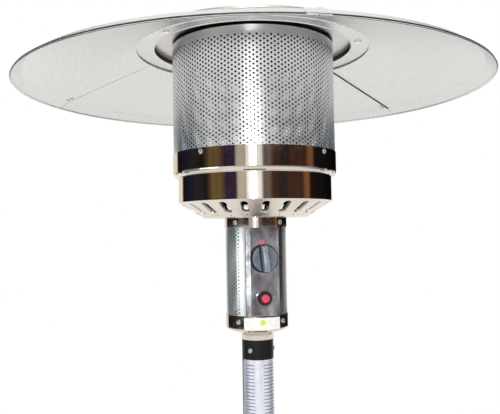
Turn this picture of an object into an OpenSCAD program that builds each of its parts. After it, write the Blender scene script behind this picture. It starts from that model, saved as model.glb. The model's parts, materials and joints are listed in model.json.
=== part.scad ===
// Mushroom patio heater: round base with a gas bottle bay, post, and burner head under a dished reflector
// Millimetres, +Z up, origin on the floor under the middle of the post, control panel towards -Y

/* [Base] */
// Radius of the round base
base_r = 230; // [215:1:245]
// Height of the drawn base dish
base_h = 44; // [38:1:60]
// Radius of the rounded top edge of the base dish
base_edge_r = 22; // [12:1:26]
// Wall of the base dish and of the plate that closes it
base_t = 1.2; // [0.8:0.1:2]
// Height of the rubber feet
foot_h = 14; // [10:1:24]
// Radius of a rubber foot
foot_r = 20; // [14:1:26]
// Distance of the feet from the middle
foot_ring_r = 185; // [160:1:195]
// Outer radius of the cast ballast ring
ballast_r = 160; // [120:1:166]
// Radius of the hole in the ballast ring
ballast_hole_r = 30; // [15:1:60]
// Thickness of the ballast ring
ballast_h = 26; // [14:1:34]

/* [Bottle frame] */
// Height of the legs that stand round the gas bottle
leg_h = 580; // [540:1:680]
// Width of the flat bar of a leg
leg_w = 30; // [20:1:40]
// Thickness of the flat bar of a leg
leg_t = 4; // [3:0.5:6]
// Distance of the upright bars from the middle
leg_ring_r = 160; // [150:1:168]
// Length of the foot and of the top tab of a leg
leg_tab = 34; // [26:1:36]
// Height over which a leg leans in to the post
leg_lean_h = 46; // [30:1:80]
// Distance of the bracket's bolts from the middle plane
bracket_bolt_x = 60; // [40:1:80]
// Distance of the bracket's bolts from its front edge
bracket_bolt_in = 22; // [10:1:30]
// Distance of the bolts under the post from the middle
head_bolt_r = 45; // [42:1:50]
// Radius of the flange under the post
flange_r = 62; // [58:1:75]
// Thickness of the flange under the post
flange_t = 6; // [4:0.5:10]
// Height of the spigot that the post stands over
spigot_h = 60; // [40:1:90]
// Wall of that spigot
spigot_t = 4; // [2:0.5:6]
// Shank radius of the frame bolts
bolt_r = 3; // [2.5:0.5:4]
// Head and nut radius of the frame bolts
bolt_head_r = 6.5; // [5:0.5:8]
// Height of the head and of the nut of the frame bolts
bolt_head_h = 5; // [4:0.5:6]

/* [Wheels] */
// Outer radius of a wheel with its tyre
wheel_r = 60; // [50:1:68]
// Thickness of the tyre
tyre_t = 11; // [8:1:14]
// Width of a wheel at its hub
wheel_w = 32; // [24:1:40]
// Height of the wheels above the floor while the heater stands
wheel_lift = 6; // [4:1:12]
// Distance of the axle behind the middle of the post
axle_y = 268; // [262:1:290]
// Radius of the axle
axle_r = 5; // [4:0.5:7]
// Distance from the middle to the outer face of a bracket ear
ear_x = 91; // [80:1:105]
// Thickness of the wheel bracket
bracket_t = 3; // [2:0.5:4]
// Distance from the axle to the bracket's front edge under the base
bracket_reach = 118; // [112:1:124]

/* [Bottle cover] */
// Outer radius of the round cover over the gas bottle
shroud_r = 200; // [198:1:206]
// How far the straight wall of the cover ends below the tops of the legs
wall_drop = 5; // [3:0.5:12]
// Wall of the cover
shroud_t = 0.8; // [0.6:0.1:1.5]
// Height of the cone on top of the cover
cone_h = 66; // [50:1:120]
// Depth of the skirt by which the cone grips the wall
skirt_h = 22; // [16:1:40]
// Outer radius of the plastic collar that runs on the post
collar_r = 42; // [39:1:50]
// Height of the plastic collar
collar_h = 26; // [16:1:40]

/* [Post] */
// Outer radius of the post
post_r = 27.5; // [26.5:0.5:30]
// Wall of the post
post_t = 1.5; // [1:0.1:2]
// Length of the post
post_l = 1055; // [900:5:1200]
// Outer radius of the gas line inside the post
gas_line_r = 5; // [4:0.5:6]
// Radius of the gas inlet stub
inlet_r = 6.5; // [6:0.5:8]
// Length of the gas inlet stub
inlet_l = 16; // [12:1:24]

/* [Control housing] */
// Outer radius of the bright cap and ring of the housing
housing_r = 54.3; // [53.8:0.1:56]
// Sheet of the cap, the ring and the perforated shell
sheet_t = 0.8; // [0.6:0.1:1]
// Length of the post that goes into the bottom cap
post_insert = 29; // [22:1:34]
// Height of the neck of the bottom cap
neck_h = 10; // [6:1:14]
// Height of the cone between the neck and the straight rim of the bottom cap
cap_cone_h = 12; // [9:1:20]
// Height of the straight rim of the bottom cap
cap_rim_h = 22; // [18:1:30]
// Height of the perforated shell between the cap and the ring
shell_h = 149; // [145:1:170]
// Height of the bright ring above the shell
ring_h = 18; // [14:1:24]
// Length of shell that hides behind the cap and behind the ring
shell_lap = 14; // [12:1:16]
// Half width of the flat front of the control panel
panel_w2 = 22.5; // [20:0.5:23.5]
// Distance of the flat front of the panel from the middle
panel_y = 55; // [54.5:0.5:57]
// Sheet of the control panel
panel_t = 1.2; // [0.8:0.1:1.5]
// Height of the control knob above the rim of the cap
knob_up = 97; // [90:1:105]
// Height of the igniter above the rim of the cap
igniter_up = 30.5; // [26:0.5:36]

/* [Controls] */
// Radius of the control knob
knob_r = 22.5; // [20:0.5:23]
// Depth of the control knob
knob_d = 19; // [17:1:24]
// Depth of the round skirt of the knob below its grip
knob_skirt = 8; // [6:0.5:10]
// Width of the grip of the knob at its waist
grip_w = 15; // [12:0.5:18]
// Gap behind the knob
knob_gap = 4.5; // [4:0.5:6]
// Travel of the knob when it is pushed in
knob_push = 3; // [2:0.5:3.5]
// Radius of the valve spindle
spindle_r = 4; // [3:0.5:5]
// Outer radius of the igniter bezel
bezel_r = 12.5; // [11.5:0.5:14]
// Depth of the igniter bezel in front of its ring
bezel_d = 5; // [4:0.5:8]
// Radius of the igniter button
button_r = 6.75; // [6:0.25:7]
// Travel of the igniter button
button_push = 4.5; // [3:0.5:4.5]
// How far the igniter button still stands out when it is pushed in
button_rest = 1; // [0.5:0.25:2]

/* [Burner bowl] */
// Radius of the hole in the floor of the bowl
bowl_hole_r = 42; // [41:1:46]
// Radius of the flat floor of the bowl
bowl_floor_r = 91; // [84:1:96]
// Outer radius of the straight wall of the bowl
bowl_r = 134.3; // [132:0.1:137]
// Height of the cone of the bowl
bowl_cone_h = 27; // [22:1:36]
// Height of the straight wall of the bowl
bowl_wall_h = 43; // [36:1:60]
// Sheet of the bowl and the band
bowl_t = 1; // [0.8:0.1:1.2]
// Number of air slots round the bowl
slot_n = 22; // [18:1:24]
// Width of an air slot
slot_w = 14; // [10:0.5:16]
// Length of an air slot along the cone
slot_l = 34; // [28:1:36]
// Radius of the small hole below each slot
vent_r = 1.3; // [1:0.1:1.6]
// Height of the rounded shoulder under the band
shoulder_h = 8; // [6:1:12]
// Outer radius of the band round the foot of the emitter
band_r = 143.2; // [142.4:0.1:145]
// Height of the band above its shoulder
band_h = 33; // [28:1:40]

/* [Burner] */
// Outer radius of the mixer tube
mixer_r = 12; // [11:0.5:14]
// Wall of the mixer tube
mixer_t = 1.5; // [1:0.1:2]
// Outer radius of the burner drum
drum_r = 46; // [36:1:52]
// Height of the burner drum
drum_h = 28; // [20:1:36]
// Number of flame ports round the burner drum
port_n = 24; // [16:1:28]
// Radius of a flame port
port_r = 2; // [1.5:0.1:2.2]
// Distance of the pilot assembly in front of the middle
pilot_y = 70; // [66:1:80]
// Distance between the three pieces of the pilot assembly
pilot_pitch = 10; // [9:0.5:12]

/* [Emitter] */
// Height of the emitter screen that shows above the band
emitter_h = 189; // [170:1:220]
// Gap between the screen and the band round its foot
emitter_gap = 0.3; // [0.2:0.1:0.5]
// Sheet of the emitter screen and its lid
emitter_t = 0.8; // [0.6:0.1:1]

/* [Reflector] */
// Radius of the rim of the reflector
rim_r = 406.5; // [395:0.5:430]
// Width of the turned-down lip
lip_w = 17.5; // [10:0.5:26]
// Inner radius of the reflector's segments
seg_in_r = 205; // [198:1:212]
// Drop of the cone from its inner edge to the lip
cone_drop = 55; // [45:1:70]
// Drop of the turned-down lip
lip_drop = 13; // [8:1:18]
// Sheet of the reflector
refl_t = 0.8; // [0.6:0.1:1.2]
// Width of the lap along each seam, in degrees
lap_deg = 2.4; // [1.6:0.1:4]
// Inner radius of the flat ring above the segments
hub_in_r = 173.5; // [168:0.5:176]
// Radius at which the flat ring turns down on to the segments
hub_flat_r = 207; // [204:1:210]
// Outer radius of the ring
hub_out_r = 226; // [222:1:240]
// Radius of the heat plate above the ring
plate_r = 200; // [196:1:204]
// Height of the turned-up rim of the heat plate
plate_rim = 4; // [3:0.5:6]
// Gap between the ring and the heat plate
plate_gap = 9.2; // [6:0.1:14]
// Gap between the lid of the emitter and the heat plate
lid_gap = 4.5; // [3:0.1:8]
// Radius of the ring of bolts that hold the reflector
mount_r = 187; // [184:1:190]
// Radius of the ring of bolts that hold the heat plate to the lid
lid_bolt_r = 100; // [60:1:120]

/* [Turning of the parts] */
// Turn of the burner bowl against the control panel
burner_turn = -5; // [-10:1:10]
// Turn of the screws of the bright ring against the control panel
ring_turn = -8; // [-10:1:10]
// Turn of the screws of the bottom cap against the control panel
cap_turn = -4; // [-10:1:10]
// Turn of the reflector against the control panel
refl_turn = -2; // [-10:1:10]
// Turn of the post screws against the control panel
post_turn = -41; // [-50:1:-30]

/* [Screws and fits] */
// Shank radius of the small screws
screw_r = 2; // [1.5:0.25:2.25]
// Head radius of the small screws
screw_head_r = 4.2; // [3.5:0.1:5]
// Head height of the small screws
screw_head_h = 2.2; // [1.8:0.1:3]
// Shank radius of the seam rivets
rivet_r = 1.6; // [1.2:0.1:2]
// Head radius of the seam rivets
rivet_head_r = 3; // [2.2:0.1:3.3]
// Clearance between a screw or bolt and its hole
screw_play = 0.2; // [0.1:0.05:0.3]
// Radial clearance of a turning fit
run_play = 0.06; // [0.03:0.01:0.1]
// Gap between sheet parts that slip into one another
slip = 0.3; // [0.2:0.05:0.4]
// Gap between the cover's collar and the post
slide_play = 0.4; // [0.3:0.05:0.6]

/* [Hidden] */
$fn = 96;
eps = 0.01;

// Heights of the stack from the floor up
plate_top = foot_h + base_t;
base_top = foot_h + base_h;
leg_top = base_top + leg_h;
post_z = leg_top + flange_t;
post_top = post_z + post_l;
cap_z = post_top - post_insert;
cap_cone_z = cap_z + neck_h;
cap_rim_z = cap_cone_z + cap_cone_h;
shell_z = cap_rim_z + cap_rim_h;
ring_z = shell_z + shell_h;
bowl_z = ring_z + ring_h;
bowl_wall_z = bowl_z + bowl_cone_h;
bowl_top = bowl_wall_z + bowl_wall_h;
band_z = bowl_top + shoulder_h;
band_top = band_z + band_h;
screen_z = band_z + bowl_t + 2 * slip;
screen_top = band_top + emitter_h;
lid_top = screen_top + emitter_t;
heat_z = lid_top + lid_gap;
hub_z = heat_z - plate_gap - refl_t;
knob_z = shell_z + knob_up;
igniter_z = shell_z + igniter_up;

// Radii and places that several parts share
wheel_z = wheel_r + wheel_lift;
wheel_in_x = ear_x + 1;
hub_r = 14;
rim_t = 6;
tyre_in_r = wheel_r - tyre_t;
leg_bolt_x = leg_ring_r + leg_tab / 2 + 1;
shroud_h = leg_h - wall_drop;
kink_r = rim_r - lip_w;
button_out = button_push + button_rest;
shell_r = housing_r - sheet_t - slip;
sleeve_r = post_r - post_t - slip;
sleeve_t = 1.8;
screen_r = band_r - bowl_t - emitter_gap;
deck_t = 1.5;
deck_z = bowl_top + bowl_t;
deck_top = deck_z + deck_t;
drum_bore_r = mixer_r + screw_play;
valve_w2 = 17;
valve_front = panel_y - panel_t - 13;
valve_back = 14;
valve_h2 = 20;
valve_top = knob_z + valve_h2;
jet_flange_h = 8;
mixer_z = valve_top + jet_flange_h;
mixer_top = deck_top + 7;
seg_drop = cone_drop / (kink_r - seg_in_r);
seg_top_z = hub_z - 2.9;
cover_top = base_top + slip + shroud_h + cone_h;
SQUARE = [45, 135, 225, 315];
THIRDS = [0, 120, 240];

// Puts what faces -Y at radius r, height z, turned by a degrees about the post
module at(a, r, z) {
    rotate([0, 0, a]) translate([0, -r, z]) children();
}

// Direction, left-hand normal and mitred corner of a bent sheet
function seg_dir(p, i) = (p[i + 1] - p[i]) / norm(p[i + 1] - p[i]);
function left_of(d) = [-d[1], d[0]];
function mitre(a, b) = (a + b) / (1 + a * b);
function corner(p, i) =
    i == 0 ? left_of(seg_dir(p, 0))
    : i == len(p) - 1 ? left_of(seg_dir(p, i - 1))
    : mitre(left_of(seg_dir(p, i - 1)), left_of(seg_dir(p, i)));

// Closed outline of a bent sheet: p is one face, the other lies t to the left
function sheet(p, t) = concat(p, [for (i = [len(p) - 1:-1:0]) p[i] + corner(p, i) * t]);

// Points of an elliptical arc about c with radii rx and ry
function arc(c, rx, ry, a0, a1, n) =
    [for (i = [0:n]) let (a = a0 + (a1 - a0) * i / n) [c[0] + rx * cos(a), c[1] + ry * sin(a)]];

// Height of the reflector's underside at radius r
function refl_z(r) =
    r < kink_r ? seg_top_z - (r - seg_in_r) * seg_drop
    : seg_top_z - cone_drop - (r - kink_r) * lip_drop / (rim_r - kink_r);

// Solid ring between two radii
module ring(r_out, r_in, h) {
    difference() {
        cylinder(r = r_out, h = h);
        translate([0, 0, -eps]) cylinder(r = r_in, h = h + 2 * eps);
    }
}

// Sheet turned about the post from a profile of [radius, height] points
module turned(p, t) {
    rotate_extrude() polygon(sheet(p, t));
}

// Small pan-head screw, head outwards along -Y, shank length l inwards
module pan_screw(l) {
    rotate([90, 0, 0]) {
        translate([0, 0, -l]) cylinder(r = screw_r, h = l);
        rotate_extrude() polygon(concat([[0, 0], [screw_head_r, 0], [screw_head_r, 0.8]],
            arc([0, 0.8], screw_head_r, screw_head_h - 0.8, 15, 90, 5)));
    }
}

// Clearance hole for a small screw, from the outside inwards
module screw_hole(l) {
    translate([0, l, 0]) rotate([90, 0, 0]) cylinder(r = screw_r + screw_play, h = 2 * l);
}

// Screw holes at the angles a on radius r and height z
module holes_at(angles, r, z) {
    for (a = angles) at(a, r, z) screw_hole(6);
}

// Hexagon-headed bolt through a grip, with its nut below; the head stands on z = 0
module bolt(grip) {
    cylinder(r = bolt_head_r, h = bolt_head_h, $fn = 6);
    translate([0, 0, -grip - bolt_head_h - 3]) cylinder(r = bolt_r, h = grip + bolt_head_h + 3 + eps);
    translate([0, 0, -grip - bolt_head_h]) cylinder(r = bolt_head_r, h = bolt_head_h, $fn = 6);
}

module bolt_hole(h) {
    translate([0, 0, -h]) cylinder(r = bolt_r + screw_play, h = 2 * h);
}

// Tube of radius r swept along a bent line of points, one ring of n sides to a point
function along(p, i) = (p[min(i + 1, len(p) - 1)] - p[max(i - 1, 0)]);
function unit(v) = v / norm(v);
function ring_points(c, t, r, n) =
    let (u = unit(cross(t, [0.9, 0.4, 0.15])), v = cross(unit(t), u))
    [for (k = [0:n - 1]) c + r * (cos(360 * k / n) * u + sin(360 * k / n) * v)];

module bent_rod(p, r) {
    n = 12;
    m = len(p);
    points = [for (i = [0:m - 1]) each ring_points(p[i], along(p, i), r, n)];
    sides = [for (i = [0:m - 2]) for (k = [0:n - 1]) let (a = i * n + k, b = i * n + (k + 1) % n) each [
        [a, a + n, b + n],
        [a, b + n, b]
    ]];
    polyhedron(points, concat(sides, [[for (k = [0:n - 1]) k]], [[for (k = [n - 1:-1:0]) (m - 1) * n + k]]));
}

// Bolt places
leg_angles = [180, 300, 60];
bracket_front = axle_y - bracket_reach;
bracket_bolts = [for (side = [-1, 1]) [side * bracket_bolt_x, bracket_front + bracket_bolt_in]];
post_screw_z = cap_z - 18;
cap_screw_z = shell_z - 10;
ring_screw_z = ring_z + ring_h / 2;
band_screw_z = band_top - 6;
sleeve_z = post_screw_z - 22;

// Base

module base_plate() {
    color("dimgray")
    difference() {
        translate([0, 0, foot_h]) cylinder(r = base_r - base_t - slip, h = base_t);
        for (p = bracket_bolts) translate([p[0], p[1], foot_h]) bolt_hole(5);
    }
}

module base_dish() {
    lip = arc([base_r - base_edge_r, base_top - base_edge_r], base_edge_r, base_edge_r, 0, 90, 8);
    color("#1c1c1e")
    difference() {
        turned(concat([[base_r, foot_h]], lip, [[0, base_top]]), base_t);
        for (a = leg_angles) at(a, leg_bolt_x, base_top) bolt_hole(5);
    }
}

module ballast_ring() {
    color("gray")
    translate([0, 0, plate_top]) ring(ballast_r, ballast_hole_r, ballast_h);
}

module base_feet() {
    color("black")
    for (a = SQUARE) at(a, foot_ring_r, 0)
        rotate_extrude() polygon([[0, 0], [foot_r - 2, 0], [foot_r, 2], [foot_r - 3, foot_h], [0, foot_h]]);
}

// Bottle frame: each leg is one bent flat bar

module support_leg(a) {
    half = leg_t / 2;
    line = [
        [leg_ring_r + leg_tab, base_top], [leg_ring_r - half, base_top],
        [leg_ring_r - half, leg_top - leg_lean_h], [head_bolt_r + leg_tab / 2, leg_top - leg_t],
        [head_bolt_r - leg_tab / 2, leg_top - leg_t]
    ];
    color("dimgray")
    rotate([0, 0, a])
        difference() {
            translate([leg_w / 2, 0, 0]) rotate([90, 0, -90])
                linear_extrude(leg_w) polygon(sheet(line, -leg_t));
            translate([0, -leg_bolt_x, base_top + leg_t / 2]) bolt_hole(leg_t);
            translate([0, -head_bolt_r, leg_top - leg_t / 2]) bolt_hole(leg_t);
        }
}

module support_leg_rear() { support_leg(leg_angles[0]); }
module support_leg_left() { support_leg(leg_angles[1]); }
module support_leg_right() { support_leg(leg_angles[2]); }

module frame_bolts() {
    color("silver") {
        for (a = leg_angles) {
            at(a, leg_bolt_x, base_top + leg_t) bolt(leg_t + base_t);
            at(a, head_bolt_r, post_z) bolt(flange_t + leg_t);
        }
        for (p = bracket_bolts) translate([p[0], p[1], foot_h - bracket_t])
            mirror([0, 0, 1]) bolt(bracket_t + base_t);
    }
}

module post_foot() {
    color("dimgray")
    difference() {
        union() {
            translate([0, 0, leg_top]) cylinder(r = flange_r, h = flange_t);
            translate([0, 0, post_z]) ring(sleeve_r, sleeve_r - spigot_t, spigot_h);
        }
        translate([0, 0, leg_top - eps]) cylinder(r = gas_line_r + slip, h = flange_t + 2 * eps);
        for (a = leg_angles) at(a, head_bolt_r, leg_top) bolt_hole(flange_t + 1);
    }
}

// Wheels

module wheel_bracket() {
    ear_r = 14;
    under = foot_h - bracket_t;
    color("dimgray")
    difference() {
        union() {
            translate([-ear_x, bracket_front, under]) cube([2 * ear_x, bracket_reach + ear_r, bracket_t]);
            for (x = [-ear_x, ear_x - bracket_t]) {
                translate([x, axle_y - ear_r, under]) cube([bracket_t, 2 * ear_r, wheel_z - under]);
                translate([x, axle_y, wheel_z]) rotate([0, 90, 0]) cylinder(r = ear_r, h = bracket_t);
            }
        }
        translate([-ear_x - 1, axle_y, wheel_z]) rotate([0, 90, 0])
            cylinder(r = axle_r + screw_play, h = 2 * ear_x + 2);
        for (p = bracket_bolts) translate([p[0], p[1], under]) bolt_hole(6);
    }
}

cap_x = wheel_in_x + wheel_w + 0.5;
cap_l = 7;
axle_end = cap_x + cap_l / 2;

module wheel_axle() {
    color("silver")
    translate([-axle_end, axle_y, wheel_z]) rotate([0, 90, 0]) cylinder(r = axle_r, h = 2 * axle_end);
}

module axle_caps() {
    cap_r = 9;
    color("black")
    for (side = [-1, 1]) translate([side * cap_x, axle_y, wheel_z]) rotate([0, side * 90, 0])
        difference() {
            rotate_extrude() polygon(concat([[0, 0], [cap_r, 0]], arc([0, 2], cap_r, cap_l - 2, 0, 90, 6)));
            translate([0, 0, -eps]) cylinder(r = axle_r + run_play, h = axle_end - cap_x + run_play);
        }
}

// Spoked-disc wheel with its hub bored for the axle, from x = 0 outwards
module wheel(side) {
    color("black")
    translate([side * wheel_in_x, axle_y, wheel_z]) rotate([0, side * 90, 0])
        difference() {
            union() {
                cylinder(r = hub_r, h = wheel_w);
                translate([0, 0, wheel_w / 2 - 3]) cylinder(r = tyre_in_r - 1, h = 6);
                translate([0, 0, 3]) ring(tyre_in_r, tyre_in_r - rim_t, wheel_w - 6);
            }
            translate([0, 0, -eps]) cylinder(r = axle_r + run_play, h = wheel_w + 2 * eps);
            for (i = [0:5]) rotate([0, 0, 60 * i]) translate([(hub_r + tyre_in_r - rim_t) / 2, 0, 0])
                cylinder(r = 8, h = wheel_w);
        }
}

module tyre(side) {
    w = wheel_w - 6;
    color("dimgray")
    translate([side * (wheel_in_x + 3), axle_y, wheel_z]) rotate([0, side * 90, 0])
        rotate_extrude() polygon(concat([[tyre_in_r + 0.1, 0], [wheel_r - 5, 0]],
            arc([wheel_r - 5, w / 2], 5, w / 2, -60, 60, 8), [[wheel_r - 5, w], [tyre_in_r + 0.1, w]]));
}

module left_wheel() { wheel(-1); }
module right_wheel() { wheel(1); }
module left_tyre() { tyre(-1); }
module right_tyre() { tyre(1); }

// Cover over the gas bottle: wall, cone, collar

shroud_z = base_top + slip;
cone_z = shroud_z + shroud_h;
cone_in_r = collar_r - 6;
shroud_screw_z = cone_z - skirt_h / 2;

module shroud_wall() {
    color("#1c1c1e")
    difference() {
        translate([0, 0, shroud_z]) ring(shroud_r, shroud_r - shroud_t, shroud_h);
        holes_at([for (i = [0:5]) 60 * i + 30], shroud_r, shroud_screw_z);
    }
}

module shroud_cone() {
    skirt_r = shroud_r + slip + bowl_t;
    color("#1c1c1e")
    difference() {
        turned([[skirt_r, cone_z - skirt_h], [skirt_r, cone_z + 2], [cone_in_r + 4, cover_top],
            [cone_in_r, cover_top]], bowl_t);
        holes_at([for (i = [0:5]) 60 * i + 30], shroud_r, shroud_screw_z);
    }
}

module shroud_collar() {
    bore = post_r + slide_play;
    neck = cone_in_r - slip;
    color("black")
    rotate_extrude() polygon([
        [bore, cover_top - collar_h / 2], [neck, cover_top - collar_h / 2], [neck, cover_top],
        [collar_r, cover_top], [collar_r, cover_top + 3], [neck - 1, cover_top + collar_h / 2],
        [bore, cover_top + collar_h / 2]
    ]);
}

module shroud_screws() {
    color("silver")
    for (i = [0:5]) at(60 * i + 30, shroud_r + slip + bowl_t, shroud_screw_z) pan_screw(6);
}

// Post and gas line

module post() {
    color("#1c1c1e")
    difference() {
        translate([0, 0, post_z]) ring(post_r, post_r - post_t, post_l);
        holes_at([for (a = THIRDS) a + post_turn], post_r, post_screw_z);
    }
}

gas_line_z = leg_top - 18;
gas_line_top = knob_z - valve_h2 + 4;

module gas_line() {
    color("#b87333")
    translate([0, 0, gas_line_z]) ring(gas_line_r, gas_line_r - 1, gas_line_top - gas_line_z);
}

module gas_inlet() {
    body_z = gas_line_z - 8;
    color("#c9a227")
    difference() {
        union() {
            translate([0, 0, body_z]) cylinder(r = inlet_r + 3, h = 14, $fn = 6);
            translate([0, 0, body_z - inlet_l]) cylinder(r = inlet_r, h = inlet_l + eps);
        }
        translate([0, 0, gas_line_z]) cylinder(r = gas_line_r + run_play, h = 20);
        translate([0, 0, body_z - inlet_l - eps]) cylinder(r = gas_line_r - 1.5, h = 30);
    }
}

module head_sleeve() {
    seat_r = shell_r - sheet_t - slip;
    seat = [[seat_r, shell_z - 16], [seat_r, shell_z], [sleeve_r - sleeve_t, shell_z]];
    color("gray")
    difference() {
        union() {
            translate([0, 0, sleeve_z]) ring(sleeve_r, sleeve_r - sleeve_t, shell_z - sleeve_z);
            turned(seat, 1.5);
        }
        holes_at([for (a = SQUARE) a + cap_turn], housing_r, cap_screw_z);
        holes_at([for (a = THIRDS) a + post_turn], post_r, post_screw_z);
    }
}

// Control housing

module bottom_cap() {
    neck_r = post_r + slip + sheet_t;
    color("silver")
    difference() {
        turned([
            [neck_r, cap_z], [neck_r, cap_cone_z - 2], [neck_r + 2.5, cap_cone_z],
            [housing_r - 4.5, cap_rim_z - 4.5], [housing_r - 1.2, cap_rim_z - 2.4],
            [housing_r, cap_rim_z], [housing_r, shell_z]
        ], sheet_t);
        holes_at([for (a = SQUARE) a + cap_turn], housing_r, cap_screw_z);
    }
}

panel_edge_x = panel_w2 + 6.3;
panel_edge_y = panel_y - 8.2;

module control_shell() {
    color("darkgray")
    difference() {
        translate([0, 0, shell_z - shell_lap]) ring(shell_r, shell_r - sheet_t, shell_h + 2 * shell_lap);
        translate([-panel_edge_x - 0.5, -shell_r - 1, shell_z - shell_lap - 1])
            cube([2 * panel_edge_x + 1, shell_r, shell_h + 2 * shell_lap + 2]);
        holes_at([for (a = SQUARE) a + cap_turn], housing_r, cap_screw_z);
        holes_at([for (a = SQUARE) a + ring_turn], housing_r, ring_screw_z);
    }
}

module control_ring() {
    color("silver")
    difference() {
        turned([[housing_r, ring_z], [housing_r, bowl_z], [bowl_hole_r, bowl_z]], sheet_t);
        holes_at([for (a = SQUARE) a + ring_turn], housing_r, ring_screw_z);
    }
}

module control_panel() {
    inner_r = shell_r - sheet_t - slip;
    tab_y = sqrt(inner_r * inner_r - panel_edge_x * panel_edge_x);
    tab_end = [38, sqrt(inner_r * inner_r - 38 * 38)];
    half = [
        [panel_w2, -panel_y], [panel_edge_x, -panel_edge_y], [panel_edge_x, -tab_y], [tab_end[0], -tab_end[1]]
    ];
    face = concat([for (i = [3:-1:0]) [-half[i][0], half[i][1]]], half);
    front = [for (i = [2:5]) face[i]];
    z0 = shell_z + slip;
    h = shell_h - 2 * slip;
    color("silver")
    difference() {
        union() {
            translate([0, 0, z0]) linear_extrude(h) polygon(sheet(face, panel_t));
            for (z = [z0, z0 + h - panel_t]) translate([0, 0, z]) linear_extrude(panel_t) polygon(front);
        }
        for (hole = [[bushing_r, knob_z], [barrel_r, igniter_z]]) translate([0, -panel_y + 5, hole[1]])
            rotate([90, 0, 0]) cylinder(r = hole[0] + screw_play, h = 10);
    }
}

module head_screws() {
    color("silver") {
        for (a = SQUARE) {
            at(a + cap_turn, housing_r, cap_screw_z) pan_screw(5);
            at(a + ring_turn, housing_r, ring_screw_z) pan_screw(5);
            at(a + burner_turn, band_r, band_screw_z) pan_screw(5);
        }
        for (a = THIRDS) at(a + post_turn, post_r, post_screw_z) pan_screw(5);
    }
}

// Gas valve with its knob

bushing_r = 9;
bushing_out = 0.6;
plunger_front = valve_front - 14;
plunger_l = 12;

module gas_valve() {
    color("#a8a9ad")
    difference() {
        union() {
            translate([-valve_w2, -valve_front, knob_z - valve_h2])
                cube([2 * valve_w2, valve_front + valve_back, 2 * valve_h2]);
            translate([0, -valve_front + eps, knob_z]) rotate([90, 0, 0])
                cylinder(r = bushing_r + 5, h = panel_y - panel_t - valve_front + eps);
            translate([0, -valve_front, knob_z]) rotate([90, 0, 0])
                cylinder(r = bushing_r, h = panel_y + bushing_out - valve_front);
        }
        translate([0, -panel_y - 1, knob_z]) rotate([-90, 0, 0])
            cylinder(r = spindle_r + run_play, h = panel_y + 1 - plunger_front + plunger_l + knob_push + 1);
        translate([0, 0, knob_z - valve_h2 - eps]) cylinder(r = gas_line_r + run_play, h = 5);
    }
}

module valve_plunger() {
    color("#c9a227")
    translate([0, -plunger_front, knob_z]) rotate([-90, 0, 0]) cylinder(r = spindle_r, h = plunger_l);
}

spindle_out = knob_gap + knob_skirt;

module valve_spindle() {
    color("silver")
    translate([0, -plunger_front, knob_z]) rotate([90, 0, 0])
        cylinder(r = spindle_r, h = panel_y - plunger_front + spindle_out);
}

// Round knob with a raised grip left between two scooped sides
module control_knob() {
    back = panel_y + knob_gap;
    scoop_r = 60;
    color("#59616b")
    translate([0, -back, knob_z]) rotate([90, 0, 0])
        difference() {
            rotate_extrude() polygon(concat([[0, 0], [knob_r, 0], [knob_r, knob_skirt]],
                arc([knob_r - 5, knob_d - 4], 4, 4, 10, 90, 4), [[0, knob_d]]));
            for (side = [-1, 1]) translate([side * (scoop_r + grip_w / 2), 0, knob_skirt])
                cylinder(r = scoop_r, h = knob_d);
            translate([0, 0, -eps]) cylinder(r = spindle_r + run_play, h = knob_skirt + run_play);
        }
}

// Igniter

barrel_r = 9;
barrel_back = panel_y - 15;
igniter_ring_t = 1;
bezel_front = panel_y + igniter_ring_t + bezel_d;
button_l = 20;

module igniter_bezel() {
    face = [[0, 0], [bezel_r, 0], [bezel_r, bezel_d - 1.5], [bezel_r - 1.5, bezel_d], [0, bezel_d]];
    color("black")
    translate([0, 0, igniter_z])
        difference() {
            union() {
                translate([0, -panel_y - igniter_ring_t, 0]) rotate([90, 0, 0])
                    rotate_extrude() polygon(face);
                translate([0, -barrel_back, 0]) rotate([90, 0, 0])
                    cylinder(r = barrel_r, h = panel_y + igniter_ring_t - barrel_back + eps);
            }
            translate([0, -barrel_back + 1, 0]) rotate([90, 0, 0])
                cylinder(r = button_r + 0.25, h = bezel_front - barrel_back + 2);
        }
}

module igniter_ring() {
    color("silver")
    translate([0, -panel_y, igniter_z]) rotate([90, 0, 0])
        ring(bezel_r + 1.6, barrel_r + screw_play, igniter_ring_t);
}

module igniter_button() {
    color("#d8304a")
    translate([0, -bezel_front - button_out + button_l, igniter_z]) rotate([90, 0, 0])
        rotate_extrude() polygon(concat([[0, 0], [button_r, 0]],
            arc([button_r - 1.5, button_l - 1.5], 1.5, 1.5, 0, 90, 4), [[0, button_l]]));
}

piezo_l = 20;
piezo_neck = 6;
piezo_back = barrel_back - piezo_l - piezo_neck;

module piezo_unit() {
    color("ivory")
    translate([0, -barrel_back, igniter_z]) rotate([-90, 0, 0]) {
        cylinder(r = barrel_r + 1.5, h = piezo_l);
        cylinder(r = 4, h = piezo_l + piezo_neck);
    }
}

// The lead passes beside the valve, then rises through the hole in the bowl's floor to the pilot
module igniter_lead() {
    beside = -valve_w2 - 7;
    past = piezo_back - 5.5;
    front = valve_front - 10.8;
    hole_y = bowl_hole_r - 6;
    x = -pilot_pitch;
    color("#d9d2c4")
    bent_rod([
        [0, -piezo_back, igniter_z], [0, -past, igniter_z], [beside, -past, igniter_z + 10],
        [beside, -front, valve_top + 8], [x, -hole_y, bowl_z - 10], [x, -hole_y, bowl_z + 12],
        [x, -pilot_y, deck_z - 14], [x, -pilot_y, deck_top + 4]
    ], 1.6);
}

module tilt_switch() {
    color("ivory")
    translate([20, -4, shell_z]) cube([22, 16, 26]);
}

// Pilot assembly

pilot_h = 24;

module pilot_line(x, y, r, top) {
    bent_rod([
        [x, -y, valve_top], [x, -y, bowl_z + 12], [x, -pilot_y, deck_z - 14], [x, -pilot_y, top]
    ], r);
}

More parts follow.
